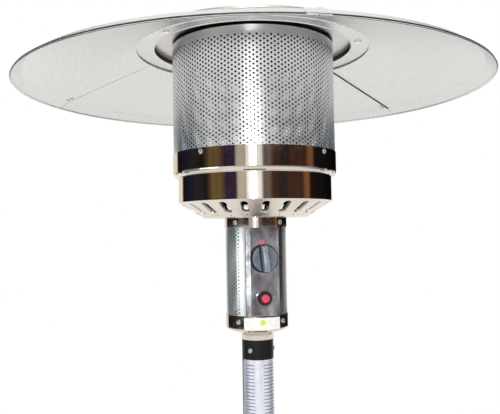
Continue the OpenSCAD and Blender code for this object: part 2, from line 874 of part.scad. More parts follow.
module thermocouple() {
    color("#b87333")
    pilot_line(pilot_pitch, 30, 2, deck_top + pilot_h + 14);
}

module pilot_tube() {
    color("silver")
    pilot_line(0, 34, 2, deck_top + pilot_h + 1);
}

module pilot_bracket() {
    w = 2 * pilot_pitch + 16;
    t = 1.5;
    front = -pilot_y - 8;
    back = -pilot_y + 12;
    color("darkgray")
    difference() {
        translate([-w / 2, 0, deck_top]) rotate([90, 0, 90]) linear_extrude(w)
            polygon(sheet([[front, t], [back, t], [back, pilot_h - t], [front, pilot_h - t]], -t));
        for (x = [-1, 0, 1]) translate([x * pilot_pitch, -pilot_y, deck_top - 1])
            cylinder(r = x < 0 ? 3.2 : 2.2, h = pilot_h + 2, $fn = 32);
    }
}

module pilot_burner() {
    z = deck_top + pilot_h + 1;
    color("#c9a227")
    difference() {
        translate([0, -pilot_y, z]) cylinder(r = 4.5, h = 12);
        translate([0, -pilot_y, z + 8]) rotate([0, 90, 0]) cylinder(r = 1.5, h = 12, center = true, $fn = 32);
    }
}

module spark_electrode() {
    x = -pilot_pitch;
    z = deck_top + 4;
    color("white") {
        translate([x, -pilot_y, z]) cylinder(r = 3, h = pilot_h + 4, $fn = 32);
        bent_rod([
            [x, -pilot_y, z + pilot_h + 3.9], [x, -pilot_y, z + pilot_h + 10],
            [x + 4, -pilot_y, z + pilot_h + 12]
        ], 0.8);
    }
}

// Burner

module gas_jet() {
    color("#c9a227")
    difference() {
        translate([0, 0, valve_top]) {
            cylinder(r = mixer_r + 0.5, h = jet_flange_h);
            cylinder(r = 4, h = jet_flange_h + 10);
        }
        translate([0, 0, valve_top - eps]) cylinder(r = 0.8, h = jet_flange_h + 12, $fn = 24);
    }
}

module mixer_tube() {
    color("silver")
    difference() {
        translate([0, 0, mixer_z]) ring(mixer_r, mixer_r - mixer_t, mixer_top - mixer_z);
        for (a = SQUARE) at(a, mixer_r, mixer_z + 14)
            rotate([90, 0, 0]) cylinder(r = 5, h = 8, center = true, $fn = 48);
    }
}

cone_angle = atan2(bowl_cone_h, bowl_r - bowl_floor_r);
slot_mid_r = (bowl_floor_r + bowl_r) / 2 + 2;

// Round-ended prism that cuts one air slot square to the cone
module slot_cutter() {
    straight = slot_l - slot_w;
    at(0, slot_mid_r, bowl_z + (slot_mid_r - bowl_floor_r) * tan(cone_angle))
        rotate([-cone_angle, 0, 0]) translate([0, 0, -6]) {
            translate([-slot_w / 2, -straight / 2, 0]) cube([slot_w, straight, 12]);
            for (s = [-1, 1]) translate([0, s * straight / 2, 0]) cylinder(r = slot_w / 2, h = 12, $fn = 48);
        }
}

module burner_bowl() {
    color("silver")
    difference() {
        turned([[bowl_hole_r, bowl_z], [bowl_floor_r, bowl_z], [bowl_r, bowl_wall_z], [bowl_r, bowl_top],
            [bowl_r - 9, bowl_top]], bowl_t);
        for (i = [0:slot_n - 1]) rotate([0, 0, burner_turn + 360 * i / slot_n]) {
            slot_cutter();
            at(0, bowl_floor_r + 4, bowl_z) translate([0, 0, -4]) cylinder(r = vent_r, h = 12, $fn = 24);
        }
    }
}

module burner_band() {
    shoulder = arc([bowl_r, band_z], band_r - bowl_r, shoulder_h, -80, 0, 6);
    color("silver")
    difference() {
        turned(concat([[bowl_r - 9, bowl_top], [bowl_r, bowl_top]], shoulder, [[band_r, band_top]]), bowl_t);
        holes_at([for (a = SQUARE) a + burner_turn], band_r, band_screw_z);
    }
}

module burner_deck() {
    color("gray")
    difference() {
        translate([0, 0, deck_z]) cylinder(r = bowl_r - 1, h = deck_t);
        translate([0, 0, deck_z - 1]) cylinder(r = drum_bore_r, h = deck_t + 2);
        for (x = [-1, 0, 1]) translate([x * pilot_pitch, -pilot_y, deck_z - 1])
            cylinder(r = 2.6, h = deck_t + 2, $fn = 32);
        for (i = [1:11]) at(30 * i, 100, deck_z - 1) cylinder(r = 10, h = deck_t + 2);
    }
}

module burner_drum() {
    color("darkgray")
    difference() {
        translate([0, 0, deck_top])
            turned([
                [drum_bore_r, 0], [drum_r, 0], [drum_r, drum_h - 6], [drum_r - 8, drum_h], [0, drum_h]
            ], 1.5);
        for (i = [0:port_n - 1]) at(360 * i / port_n, drum_r, deck_top + drum_h / 2)
            rotate([90, 0, 0]) cylinder(r = port_r, h = 6, center = true, $fn = 24);
    }
}

// Emitter

module emitter_screen() {
    color("#d7d7d4")
    difference() {
        translate([0, 0, screen_z]) ring(screen_r, screen_r - emitter_t, screen_top - screen_z);
        holes_at([for (a = SQUARE) a + burner_turn], band_r, band_screw_z);
    }
}

module emitter_lid() {
    lid_r = screen_r - emitter_t - slip;
    color("gray")
    difference() {
        turned([[lid_r, screen_top - 10], [lid_r, lid_top], [0, lid_top]], emitter_t);
        for (a = THIRDS) at(a, lid_bolt_r, lid_top) bolt_hole(4);
    }
}

// Reflector: three lapped segments under a flat ring, with a heat plate above

// One segment from its seam at angle a, with the strip that laps over the next
module reflector_segment(a) {
    gap_deg = 0.25;
    span = 120 - gap_deg;
    face = [[rim_r, refl_z(rim_r)], [kink_r, refl_z(kink_r)], [seg_in_r, refl_z(seg_in_r)]];
    lap_face = [for (p = face) [p[0], p[1] + refl_t + slip]];
    strip_in = 2;
    color("#dcdcd8")
    difference() {
        rotate([0, 0, a - 90]) {
            rotate_extrude(angle = span, $fn = 180) polygon(sheet(face, -refl_t));
            rotate([0, 0, span - strip_in]) rotate_extrude(angle = 1, $fn = 180)
                polygon(sheet(face, -2 * refl_t - slip));
            rotate([0, 0, span - strip_in]) rotate_extrude(angle = strip_in + lap_deg, $fn = 180)
                polygon(sheet(lap_face, -refl_t));
        }
        for (s = [0, 120]) for (r = seam_rivet_rs) at(a + s + seam_rivet_deg, r, refl_z(r))
            rotate([seg_tilt, 0, 0]) cylinder(r = rivet_r + screw_play, h = 12, center = true, $fn = 32);
    }
}

seg_tilt = atan(seg_drop);
seam_rivet_rs = [kink_r - 15, kink_r - 7];
seam_rivet_deg = lap_deg / 2;

module reflector_right() { reflector_segment(refl_turn); }
module reflector_rear() { reflector_segment(refl_turn + 120); }
module reflector_left() { reflector_segment(refl_turn + 240); }

module reflector_ring() {
    lap_z = refl_z(hub_out_r) + 2 * refl_t + 2 * slip;
    color("#dcdcd8")
    difference() {
        turned([[hub_out_r, lap_z], [hub_flat_r, hub_z], [hub_in_r, hub_z]], -refl_t);
        for (a = mount_angles) at(a, mount_r, hub_z) bolt_hole(4);
    }
}

mount_angles = [60, 180, 300];

module heat_plate() {
    color("silver")
    difference() {
        turned([[plate_r, heat_z + plate_rim], [plate_r, heat_z], [0, heat_z]], -bowl_t);
        for (a = mount_angles) at(a, mount_r, heat_z) bolt_hole(4);
        for (a = THIRDS) at(a, lid_bolt_r, heat_z) bolt_hole(4);
    }
}

module reflector_spacers() {
    color("silver") {
        for (a = mount_angles) at(a, mount_r, hub_z + refl_t) ring(6, bolt_r + screw_play, plate_gap);
        for (a = THIRDS) at(a, lid_bolt_r, lid_top) ring(6, bolt_r + screw_play, lid_gap);
    }
}

// Bolt with a domed nut: flat head below z = 0, nut on top of the grip
module dome_bolt(grip) {
    translate([0, 0, -2.6]) cylinder(r = 5.5, h = 2.6);
    cylinder(r = bolt_r, h = grip + 1);
    translate([0, 0, grip]) cylinder(r = bolt_head_r - 1, h = 4, $fn = 6);
    translate([0, 0, grip + 4]) intersection() {
        sphere(r = 4.4, $fn = 32);
        cylinder(r = 5, h = 5);
    }
}

module reflector_bolts() {
    color("silver") {
        for (a = mount_angles) at(a, mount_r, hub_z) dome_bolt(plate_gap + refl_t + bowl_t);
        for (a = THIRDS) at(a, lid_bolt_r, screen_top) dome_bolt(lid_gap + emitter_t + bowl_t);
    }
}

// Rivets go up through both sheets of a lap, head below and closed above
module rivet(grip) {
    seat = 0.05;
    translate([0, 0, -1.2 - seat]) cylinder(r = rivet_head_r, h = 1.2);
    translate([0, 0, -0.6]) cylinder(r = rivet_r, h = grip + 1.2);
    translate([0, 0, grip + seat]) cylinder(r = rivet_head_r - 0.4, h = 1);
}

module seam_rivets() {
    color("silver")
    for (s = THIRDS) for (r = seam_rivet_rs) at(refl_turn + s + seam_rivet_deg, r, refl_z(r))
        rotate([seg_tilt, 0, 0]) rivet(refl_t + (refl_t + slip) * cos(seg_tilt));
}

base_plate();
base_dish();
ballast_ring();
base_feet();
support_leg_rear();
support_leg_left();
support_leg_right();
frame_bolts();
post_foot();
wheel_bracket();
wheel_axle();
axle_caps();
left_wheel();
left_tyre();
right_wheel();
right_tyre();
shroud_wall();
shroud_cone();
shroud_collar();
shroud_screws();
post();
gas_line();
gas_inlet();
head_sleeve();
bottom_cap();
control_shell();
control_ring();
control_panel();
head_screws();
gas_valve();
valve_plunger();
valve_spindle();
control_knob();
igniter_bezel();
igniter_ring();
igniter_button();
piezo_unit();
igniter_lead();
tilt_switch();
thermocouple();
pilot_tube();
pilot_bracket();
pilot_burner();
spark_electrode();
gas_jet();
mixer_tube();
burner_bowl();
burner_band();
burner_deck();
burner_drum();
emitter_screen();
emitter_lid();
reflector_right();
reflector_rear();
reflector_left();
reflector_ring();
heat_plate();
reflector_spacers();
reflector_bolts();
seam_rivets();
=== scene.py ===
import json
import math

import bpy
import numpy as np
from mathutils import Matrix, Vector


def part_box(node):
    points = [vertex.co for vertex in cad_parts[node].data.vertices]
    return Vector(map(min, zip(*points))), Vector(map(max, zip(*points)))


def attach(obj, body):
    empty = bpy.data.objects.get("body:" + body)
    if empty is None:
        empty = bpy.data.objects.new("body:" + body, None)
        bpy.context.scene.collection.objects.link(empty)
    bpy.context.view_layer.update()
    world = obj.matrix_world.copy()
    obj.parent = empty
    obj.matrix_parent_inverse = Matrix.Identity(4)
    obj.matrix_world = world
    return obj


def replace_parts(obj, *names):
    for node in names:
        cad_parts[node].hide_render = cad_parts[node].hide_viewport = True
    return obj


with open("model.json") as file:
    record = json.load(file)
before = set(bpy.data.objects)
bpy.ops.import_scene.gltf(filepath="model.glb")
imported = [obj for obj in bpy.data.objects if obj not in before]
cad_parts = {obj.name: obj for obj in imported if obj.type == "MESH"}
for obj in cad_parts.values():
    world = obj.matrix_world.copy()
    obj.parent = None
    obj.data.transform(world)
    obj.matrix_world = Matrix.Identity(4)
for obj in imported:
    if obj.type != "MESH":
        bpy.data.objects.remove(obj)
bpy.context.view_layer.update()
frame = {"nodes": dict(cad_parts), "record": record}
nodes = frame["nodes"]
SLOT_OF = {part["node"]: part["material_slot"] for part in frame["record"]["subparts"]}
MM = 0.001

# Sizes of the part that finishes or new pieces go by, heights from the floor
BOWL_Z, CONE_H = 1881 * MM, 27 * MM
FLOOR_R, BOWL_R = 91 * MM, 134.3 * MM
EMITTER_R, EMITTER_T = 141.9 * MM, 0.6 * MM
HOUSING_R, SHEET_T = 53.2 * MM, 0.8 * MM
HUB_R, PLATE_UNDER_Z = 173.5 * MM, 2186.6 * MM
RIM_R, RIM_Z = 404.4 * MM, 2107.2 * MM


# Colours and nodes

def rgb(code):
    """sRGB hex value to linear red, green, blue."""
    parts = [int(code[i:i + 2], 16) / 255 for i in (0, 2, 4)]
    return [c / 12.92 if c < 0.04045 else ((c + 0.055) / 1.055) ** 2.4 for c in parts]


def add(tree, kind, inputs=None, **settings):
    """Adds a node with its settings; inputs maps a socket to a value or to another node's output."""
    node = tree.nodes.new(kind)
    for key, value in settings.items():
        setattr(node, key, value)
    for key, value in (inputs or {}).items():
        if isinstance(value, bpy.types.NodeSocket):
            tree.links.new(value, node.inputs[key])
        else:
            node.inputs[key].default_value = value
    return node


def finish_of(name, **shader):
    """New material with its Principled shader's plain values set; returns material, tree and shader."""
    material = bpy.data.materials.new(name)
    material.use_nodes = True
    tree = material.node_tree
    surface = tree.nodes["Principled BSDF"]
    for key, value in shader.items():
        socket = surface.inputs[key.replace("_", " ")]
        socket.default_value = [*rgb(value), 1] if isinstance(value, str) else value
    return material, tree, surface


def place(tree, scale=(1, 1, 1)):
    """Object coordinates stretched by scale."""
    where = add(tree, "ShaderNodeTexCoord")
    return add(tree, "ShaderNodeMapping", {"Vector": where.outputs["Object"], "Scale": scale}).outputs[0]


def grain(tree, size, scale=(1, 1, 1), detail=3.0):
    """Noise whose grains are size across, in metres."""
    return add(tree, "ShaderNodeTexNoise", {
        "Vector": place(tree, scale), "Scale": 1 / size, "Detail": detail}).outputs["Fac"]


def between(tree, factor, low, high):
    """Runs from low to high as factor goes from 0.3 to 0.7, where noise lives."""
    return ramped(tree, factor, 0.3, 0.7, low, high)


def tint(tree, factor, first, second):
    """Colour that runs from hex first to hex second with factor."""
    ramp = add(tree, "ShaderNodeValToRGB", {"Fac": factor})
    ramp.color_ramp.elements[0].color = [*rgb(first), 1]
    ramp.color_ramp.elements[1].color = [*rgb(second), 1]
    ramp.color_ramp.elements[0].position = 0.3
    ramp.color_ramp.elements[1].position = 0.7
    return ramp.outputs["Color"]


def relief(tree, surface, height, depth):
    """Bump of depth metres from a height between 0 and 1."""
    bump = add(tree, "ShaderNodeBump", {"Height": height, "Strength": 1.0, "Distance": depth})
    tree.links.new(bump.outputs["Normal"], surface.inputs["Normal"])


# Finishes

def polished_stainless():
    """304 stainless, spun and mirror polished: a warm grey mirror with slow ripples and wipe marks."""
    material, tree, surface = finish_of("polished_stainless", Metallic=1.0)
    tree.links.new(tint(tree, grain(tree, 0.05), "d8cfc5", "e2dad0"), surface.inputs["Base Color"])
    smears = between(tree, grain(tree, 0.012, (1, 1, 2.5)), 0.03, 0.08)
    tree.links.new(smears, surface.inputs["Roughness"])
    relief(tree, surface, grain(tree, 0.035, (1, 1, 0.4), 2.6), 0.00013)
    return material


def brushed_stainless():
    """430 stainless sheet, brushed along its length: long fine scratches that stretch every highlight."""
    material, tree, surface = finish_of("brushed_stainless", Metallic=1.0)
    strokes = grain(tree, 0.0009, (1, 1, 0.03), 2.0)
    tree.links.new(tint(tree, strokes, "b9b8b4", "cfcecb"), surface.inputs["Base Color"])
    tree.links.new(between(tree, strokes, 0.22, 0.36), surface.inputs["Roughness"])
    relief(tree, surface, strokes, 0.00001)
    return material


def from_axis(tree):
    """Distance from the post's axis."""
    flat = place(tree, (1, 1, 0))
    return add(tree, "ShaderNodeVectorMath", {0: flat}, operation="LENGTH").outputs["Value"]


def height_of(tree):
    """Height over the floor."""
    return add(tree, "ShaderNodeSeparateXYZ", {0: place(tree)}).outputs["Z"]


def ramped(tree, value, start, end, low=0.0, high=1.0):
    """Runs from low to high as value goes from start to end, and stays level outside them."""
    return add(tree, "ShaderNodeMapRange", {
        "Value": value, "From Min": start, "From Max": end, "To Min": low, "To Max": high}).outputs[0]


def sums(tree, operation, *values):
    """Result of a sum over outputs or numbers."""
    return add(tree, "ShaderNodeMath", dict(enumerate(values)), operation=operation).outputs[0]


def inside_of(tree, radius):
    """1 nearer to the post's axis than radius, 0 outside it, with a change over a tenth of a millimetre."""
    return ramped(tree, from_axis(tree), radius, radius - 0.1 * MM)


def mixed(tree, factor, first, second):
    """Colour between two colour outputs, or hex values, by factor."""
    mix = add(tree, "ShaderNodeMix", {"Factor": factor}, data_type="RGBA")
    for name, colour in (("A", first), ("B", second)):
        socket = next(i for i in mix.inputs if i.name == name and i.type == "RGBA")
        if isinstance(colour, str):
            socket.default_value = [*rgb(colour), 1]
        else:
            tree.links.new(colour, socket)
    return next(o for o in mix.outputs if o.type == "RGBA")


def punched_stainless():
    """Punched stainless screen: bright cold-rolled sheen outside, and its inside painted near-black, painted
    shade that makes the holes read dark.
    """
    material, tree, surface = finish_of(
        "punched_stainless", Metallic=1.0, Anisotropic=0.6, Anisotropic_Rotation=0.25)
    around = add(tree, "ShaderNodeTangent", direction_type="RADIAL", axis="Z")
    tree.links.new(around.outputs[0], surface.inputs["Tangent"])
    cloud = grain(tree, 0.04)
    inside = inside_of(tree, EMITTER_R - 0.1 * MM)
    bright = tint(tree, cloud, "ebecee", "fafbfc")
    # Inside of the screen painted near-black: painted shade seen through the holes.
    tree.links.new(mixed(tree, inside, bright, "0e0c0b"), surface.inputs["Base Color"])
    sheen = between(tree, cloud, 0.3, 0.38)
    tree.links.new(sums(tree, "MULTIPLY_ADD", inside, 0.35, sheen), surface.inputs["Roughness"])
    relief(tree, surface, grain(tree, 0.006), 0.00003)
    return material


def housing_stainless():
    """Punched stainless cover of the controls: brushed upright outside, dull inside and painted near-black
    there, painted shade seen through the holes.
    """
    material, tree, surface = finish_of("housing_stainless", Metallic=1.0)
    strokes = grain(tree, 0.0012, (1, 1, 0.03), 2.0)
    inside = inside_of(tree, HOUSING_R - 0.1 * MM)
    bright = tint(tree, strokes, "d4d8d6", "e2e5e3")
    # Inside of the cover painted near-black: painted shade seen through the holes.
    tree.links.new(mixed(tree, inside, bright, "0a0a0a"), surface.inputs["Base Color"])
    sheen = between(tree, strokes, 0.16, 0.24)
    tree.links.new(sums(tree, "MULTIPLY_ADD", inside, 0.35, sheen), surface.inputs["Roughness"])
    return material


def bowl_stainless():
    """Burner bowl: its spun wall is mirror polished, the cone below satin, the inside near-black."""
    material, tree, surface = finish_of("bowl_stainless", Metallic=1.0)
    cone = ramped(tree, from_axis(tree), FLOOR_R, BOWL_R, BOWL_Z, BOWL_Z + CONE_H)
    above = sums(tree, "SUBTRACT", height_of(tree), cone)
    lined = ramped(tree, above, 0.3 * MM, 0.4 * MM)
    inner = sums(tree, "MULTIPLY", lined, inside_of(tree, BOWL_R - 0.3 * MM))
    bright = tint(tree, grain(tree, 0.05), "e4dacd", "efe6dc")
    # The bowl's inside is near-black.
    tree.links.new(mixed(tree, inner, bright, "14100d"), surface.inputs["Base Color"])
    cone_top = BOWL_Z + CONE_H
    under = ramped(tree, height_of(tree), cone_top + 0.5 * MM, cone_top - 1.5 * MM)
    smears = between(tree, grain(tree, 0.012, (1, 1, 2.5)), 0.04, 0.09)
    tree.links.new(sums(tree, "MULTIPLY_ADD", under, 0.22, smears), surface.inputs["Roughness"])
    relief(tree, surface, grain(tree, 0.035, (1, 1, 0.4), 2.6), 0.00013)
    return material


def panel_stainless():
    """Control panel: polished flat sheet whose colour is clouded from grey to near-white, a painted
    reflection of the mottled light in its wavy face.
    """
    material, tree, surface = finish_of("panel_stainless", Metallic=1.0)
    cloud = grain(tree, 0.018, (1, 1, 0.7), 2.0)
    # Grey to near-white clouds in the colour: painted reflection of the light's mottling on the sheet.
    tree.links.new(tint(tree, cloud, "a39fa6", "fbfbfc"), surface.inputs["Base Color"])
    tree.links.new(between(tree, grain(tree, 0.01), 0.08, 0.2), surface.inputs["Roughness"])
    relief(tree, surface, grain(tree, 0.03, detail=1.0), 0.00015)
    return material


def lip_stainless():
    """Pressed lips of the air slots: stretched, matt and pale."""
    material, tree, surface = finish_of("lip_stainless", Metallic=1.0)
    tree.links.new(tint(tree, grain(tree, 0.003), "f0ece4", "fbf8f2"), surface.inputs["Base Color"])
    tree.links.new(between(tree, grain(tree, 0.002), 0.35, 0.5), surface.inputs["Roughness"])
    return material


def mill_aluminium():
    """Mill-finish aluminium sheet: pale satin with rolling lines and a slight waviness."""
    material, tree, surface = finish_of("mill_aluminium", Metallic=1.0)
    lines = grain(tree, 0.0025, (1, 0.02, 1), 2.0)
    tree.links.new(tint(tree, lines, "dededb", "ececea"), surface.inputs["Base Color"])
    tree.links.new(between(tree, lines, 0.30, 0.40), surface.inputs["Roughness"])
    relief(tree, surface, grain(tree, 0.09, detail=1.0), 0.0009)
    return material


def heat_plate_finish():
    """Heat plate: dull sheet, its underside painted black in a ring over the hub's edge, painted shade for
    the dark gap between hub and plate.
    """
    material, tree, surface = finish_of("plate_painted_shade", Metallic=1.0)
    cloud = grain(tree, 0.02)
    # Black ring on the underside: painted shade of the gap over the hub, seen as a dark line past the hole.
    under = ramped(tree, height_of(tree), PLATE_UNDER_Z + 0.1 * MM, PLATE_UNDER_Z - 0.1 * MM)
    outside = ramped(tree, from_axis(tree), HUB_R - 2.5 * MM, HUB_R + 3.5 * MM)
    near_black = sums(tree, "MULTIPLY", under, outside)
    clean = tint(tree, cloud, "cfccc6", "dedbd6")
    tree.links.new(mixed(tree, near_black, clean, "100e0c"), surface.inputs["Base Color"])
    sheen = between(tree, cloud, 0.26, 0.36)
    tree.links.new(sums(tree, "MULTIPLY_ADD", near_black, 0.3, sheen), surface.inputs["Roughness"])
    return material


def rolled_aluminium():
    """Rolled hem of the reflector: bright towards the post, its outer side painted dark, painted shade and
    dark reflection that make the rim's dark line.
    """
    material, tree, surface = finish_of("rolled_aluminium", Metallic=1.0)
    # Dark outer side of the hem: painted shade and dark reflection along the rim.
    outer = tint(tree, grain(tree, 0.01), "3e3a38", "645f5c")
    bright = tint(tree, grain(tree, 0.01), "e6e5e2", "f4f3f1")
    facing_post = inside_of(tree, RIM_R + 0.5 * MM)
    tree.links.new(mixed(tree, facing_post, outer, bright), surface.inputs["Base Color"])
    tree.links.new(between(tree, grain(tree, 0.004), 0.22, 0.38), surface.inputs["Roughness"])
    return material


def powder_coat(name, first, second):
    """Polyester powder coat, baked on steel: matted satin with an orange peel about 1.5 mm across."""
    material, tree, surface = finish_of(name, IOR=1.5, Specular_IOR_Level=0.28)
    tree.links.new(tint(tree, grain(tree, 0.03), first, second), surface.inputs["Base Color"])
    tree.links.new(between(tree, grain(tree, 0.01), 0.30, 0.42), surface.inputs["Roughness"])
    relief(tree, surface, grain(tree, 0.0015, detail=1.0), 0.00005)
    return material


def zinc_plate():
    """Bright zinc plate on steel screws and bolts: cool silver, slightly cloudy."""
    material, tree, surface = finish_of("zinc_plate", Metallic=1.0)
    cloud = grain(tree, 0.003)
    tree.links.new(tint(tree, cloud, "b8bab9", "d4d5d3"), surface.inputs["Base Color"])
    tree.links.new(between(tree, cloud, 0.18, 0.32), surface.inputs["Roughness"])
    return material


def sand_cast_iron():
    """Sand-cast iron, as cast: dark grey with sandy grain of about 1 mm."""
    material, tree, surface = finish_of("sand_cast_iron", Metallic=0.6)
    sand = grain(tree, 0.001)
    tree.links.new(tint(tree, sand, "3a3a39", "555452"), surface.inputs["Base Color"])
    tree.links.new(between(tree, sand, 0.6, 0.8), surface.inputs["Roughness"])
    relief(tree, surface, sand, 0.0003)
    return material


def moulded(name, first, second, low, high, texture=0.0006, depth=0.00003):
    """Injection-moulded plastic or rubber: even colour, spark-eroded grain of the mould."""
    material, tree, surface = finish_of(name, IOR=1.5)
    tree.links.new(tint(tree, grain(tree, 0.006), first, second), surface.inputs["Base Color"])
    tree.links.new(between(tree, grain(tree, 0.002), low, high), surface.inputs["Roughness"])
    relief(tree, surface, grain(tree, texture, detail=1.0), depth)
    return material


def turned_metal(name, first, second, low=0.2, high=0.34):
    """Turned or drawn metal: fine rings or draw lines and a little tarnish."""
    material, tree, surface = finish_of(name, Metallic=1.0)
    tree.links.new(tint(tree, grain(tree, 0.008), first, second), surface.inputs["Base Color"])
    tree.links.new(between(tree, grain(tree, 0.0012), low, high), surface.inputs["Roughness"])
    return material


def glazed_ceramic():
    """Glazed alumina insulator: white with a glassy coat."""
    material, tree, surface = finish_of("glazed_ceramic", IOR=1.5, Coat_Weight=0.6, Coat_Roughness=0.05)
    tree.links.new(tint(tree, grain(tree, 0.004), "e6e2d9", "f0ede6"), surface.inputs["Base Color"])
    tree.links.new(between(tree, grain(tree, 0.003), 0.25, 0.35), surface.inputs["Roughness"])
    return material


FINISH = {
    "satin_steel": brushed_stainless(),
    "bright_steel": polished_stainless(),
    "reflector_aluminium": mill_aluminium(),
    "emitter_steel": punched_stainless(),
    "black_enamel": powder_coat("black_powder_coat", "08080a", "0f0f11"),
    "grey_enamel": powder_coat("grey_powder_coat", "3a3a3c", "444446"),
    "zinc_steel": zinc_plate(),
    "cast_ballast": sand_cast_iron(),
    "foot_rubber": moulded("moulded_rubber", "141414", "1d1d1d", 0.6, 0.75),
    "tyre_rubber": moulded("tyre_rubber", "161616", "202020", 0.62, 0.8, 0.0012, 0.0001),
    "black_plastic": moulded("black_polypropylene", "101011", "18181a", 0.38, 0.5),
    "knob_plastic": moulded("knob_phenolic", "46505c", "525d69", 0.24, 0.34),
    "button_plastic": moulded("button_nylon", "d83a58", "e44a66", 0.22, 0.3),
    "white_plastic": moulded("white_nylon", "d8d3c6", "e2ddd1", 0.35, 0.45),
    "ceramic": glazed_ceramic(),
    "brass": turned_metal("turned_brass", "b98f45", "c9a35a"),
    "copper": turned_metal("drawn_copper", "a8643f", "bf7a52"),
    "lead_silicone": moulded("silicone_sleeve", "c8c2b2", "d4cfc1", 0.45, 0.6),
    "valve_metal": turned_metal("die_cast_zinc", "8f9092", "a2a3a4", 0.35, 0.5),
}

OWN_FINISH = {
    "burner_bowl": bowl_stainless(),
    "control_panel": panel_stainless(),
    "heat_plate": heat_plate_finish(),
    "reflector_bolts": turned_metal("bright_nickel", "e8e7e4", "f7f6f4", 0.08, 0.18),
}

for name, node in nodes.items():
    for holder in node.material_slots:
        holder.material = OWN_FINISH.get(name) or FINISH[SLOT_OF[name]]


# Meshes

def piece(name, points, faces, material, body="frame", slot=None, smooth=30.0):
    """Mesh object from points in metres and a list of index arrays, one for each kind of face."""
    mesh = bpy.data.meshes.new(name)
    corners = sum((block.tolist() for block in faces), [])
    mesh.from_pydata(np.asarray(points, float).tolist(), [], corners)
    mesh.update()
    mesh.materials.append(material)
    mesh.shade_smooth()
    mesh.set_sharp_from_angle(angle=math.radians(smooth))
    obj = bpy.data.objects.new(name, mesh)
    bpy.context.scene.collection.objects.link(obj)
    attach(obj, body)
    return obj


def welded(points, faces):
    """Merges points that fall together and renumbers the faces."""
    keys = np.round(points / 1e-7).astype(np.int64)
    _, first, back = np.unique(keys, axis=0, return_index=True, return_inverse=True)
    return points[first], [back.reshape(-1)[block] for block in faces]


def walled(outer, inner, faces):
    """Closed sheet between an outer and an inner copy of the same points.

    The inner faces are the outer ones turned over. Each edge that belongs to one face only, round a hole
    or along the border, gets a quad from the outer to the inner copy.
    """
    count = len(outer)
    starts = np.concatenate([block.ravel() for block in faces])
    ends = np.concatenate([np.roll(block, -1, axis=1).ravel() for block in faces])
    border = ~np.isin(starts * count + ends, ends * count + starts)
    a, b = starts[border], ends[border]
    rims = np.stack([b, a, a + count, b + count], -1)
    return np.concatenate([outer, inner]), faces + [block[:, ::-1] + count for block in faces] + [rims]


def round_post(angle, radius, height):
    """Points at radius from the post's axis: angle runs from the panel, -Y, towards +X."""
    return np.stack([radius * np.sin(angle), -radius * np.cos(angle), height + 0 * angle], -1)


def quads(rows, columns, wrap=False):
    """Quads of a grid of rows by columns points, closed along the columns if wrap."""
    r, c = np.meshgrid(np.arange(rows - 1), np.arange(columns - (not wrap)), indexing="ij")
    a, b = (r * columns + c).ravel(), (r * columns + (c + 1) % columns).ravel()
    return np.stack([a, b, b + columns, a + columns], -1)


def ring_quads(rings, sides, wrap=True):
    """Quads between closed rings of points, from the last ring back to the first if wrap."""
    i, j = [grid.ravel() for grid in np.meshgrid(
        np.arange(rings - (not wrap)), np.arange(sides), indexing="ij")]
    near, far = i * sides, (i + 1) % rings * sides
    following = (j + 1) % sides
    return np.stack([near + j, far + j, far + following, near + following], -1)


def joined(parts):
    """One list of points and faces from several."""
    points, faces, start = [], [], 0
    for more_points, more_faces in parts:
        points.append(more_points)
        faces += [block + start for block in more_faces]
        start += len(more_points)
    return np.concatenate(points), faces


# Punched sheets

def punched_cells(columns, rows, step, pitch, hole):
    """Flat pattern of staggered holes: points (u, v) in metres and the faces between them.

    Each hole is an octagon in a cell one step wide and one pitch high, and the cells of odd columns stand
    half a pitch higher. A cell has its four corners and the middles of its sides, and those of its upright
    sides are its neighbours' corners. Quads join these eight points to the hole.
    """
    ring = np.array([[-1, -1], [0, -1], [1, -1], [1, 0], [1, 1], [0, 1], [-1, 1], [-1, 0]]) / 2
    sides = len(ring)
    turn = np.arctan2(ring[:, 1], ring[:, 0])
    i, j = [grid.ravel() for grid in np.meshgrid(np.arange(columns), np.arange(rows), indexing="ij")]
    middle = np.stack([(i + 0.5) * step, (j + 0.5 + 0.5 * (i % 2)) * pitch], -1)
    edge = middle[:, None] + ring * [step, pitch]
    bore = middle[:, None] + hole * np.stack([np.cos(turn), np.sin(turn)], -1)
    points = np.concatenate([edge, bore], 1).reshape(-1, 2)
    k = np.arange(sides)
    cell = np.stack([k, (k + 1) % sides, sides + (k + 1) % sides, sides + k], -1)
    faces = (np.arange(len(i))[:, None, None] * 2 * sides + cell).reshape(-1, 4)
    odd = np.arange(1, columns, 2)
    even = np.arange(0, columns, 2)
    half = ring * [1, 0.5]
    foot = (np.stack([(odd + 0.5) * step, 0 * odd + pitch / 4], -1)[:, None] + half * [step, pitch])
    head = (np.stack([(even + 0.5) * step, 0 * even + (rows + 0.25) * pitch], -1)[:, None]
            + half * [step, pitch])
    keep = [n for n in range(sides) if ring[n, 1] != 0]
    plain = np.concatenate([foot, head])[:, keep].reshape(-1, 2)
    plugs = np.arange(len(plain)).reshape(-1, len(keep))
    return joined([(points, [faces]), (plain, [plugs])])


def margin(columns, step, low, high):
    """Plain band under or over the holes, with a point at each corner and middle of their cells."""
    u = np.arange(columns * 2 + 1) * step / 2
    points = np.stack(np.meshgrid(u, [low, high]), -1).reshape(-1, 2)
    return points, [quads(2, len(u))]


def rolled_sheet(name, pattern, radius, thick, start, foot, material, **more):
    """Rolls a flat pattern round the post: u runs along the arc from the angle start, v goes up."""
    points, faces = pattern
    angle = start + points[:, 0] / radius
    outer, faces = welded(round_post(angle, radius, foot + points[:, 1]), faces)
    shrink = np.array([1 - thick / radius, 1 - thick / radius, 1])
    points, faces = walled(outer, outer * shrink, faces)
    return piece(name, points, faces, material, **more)


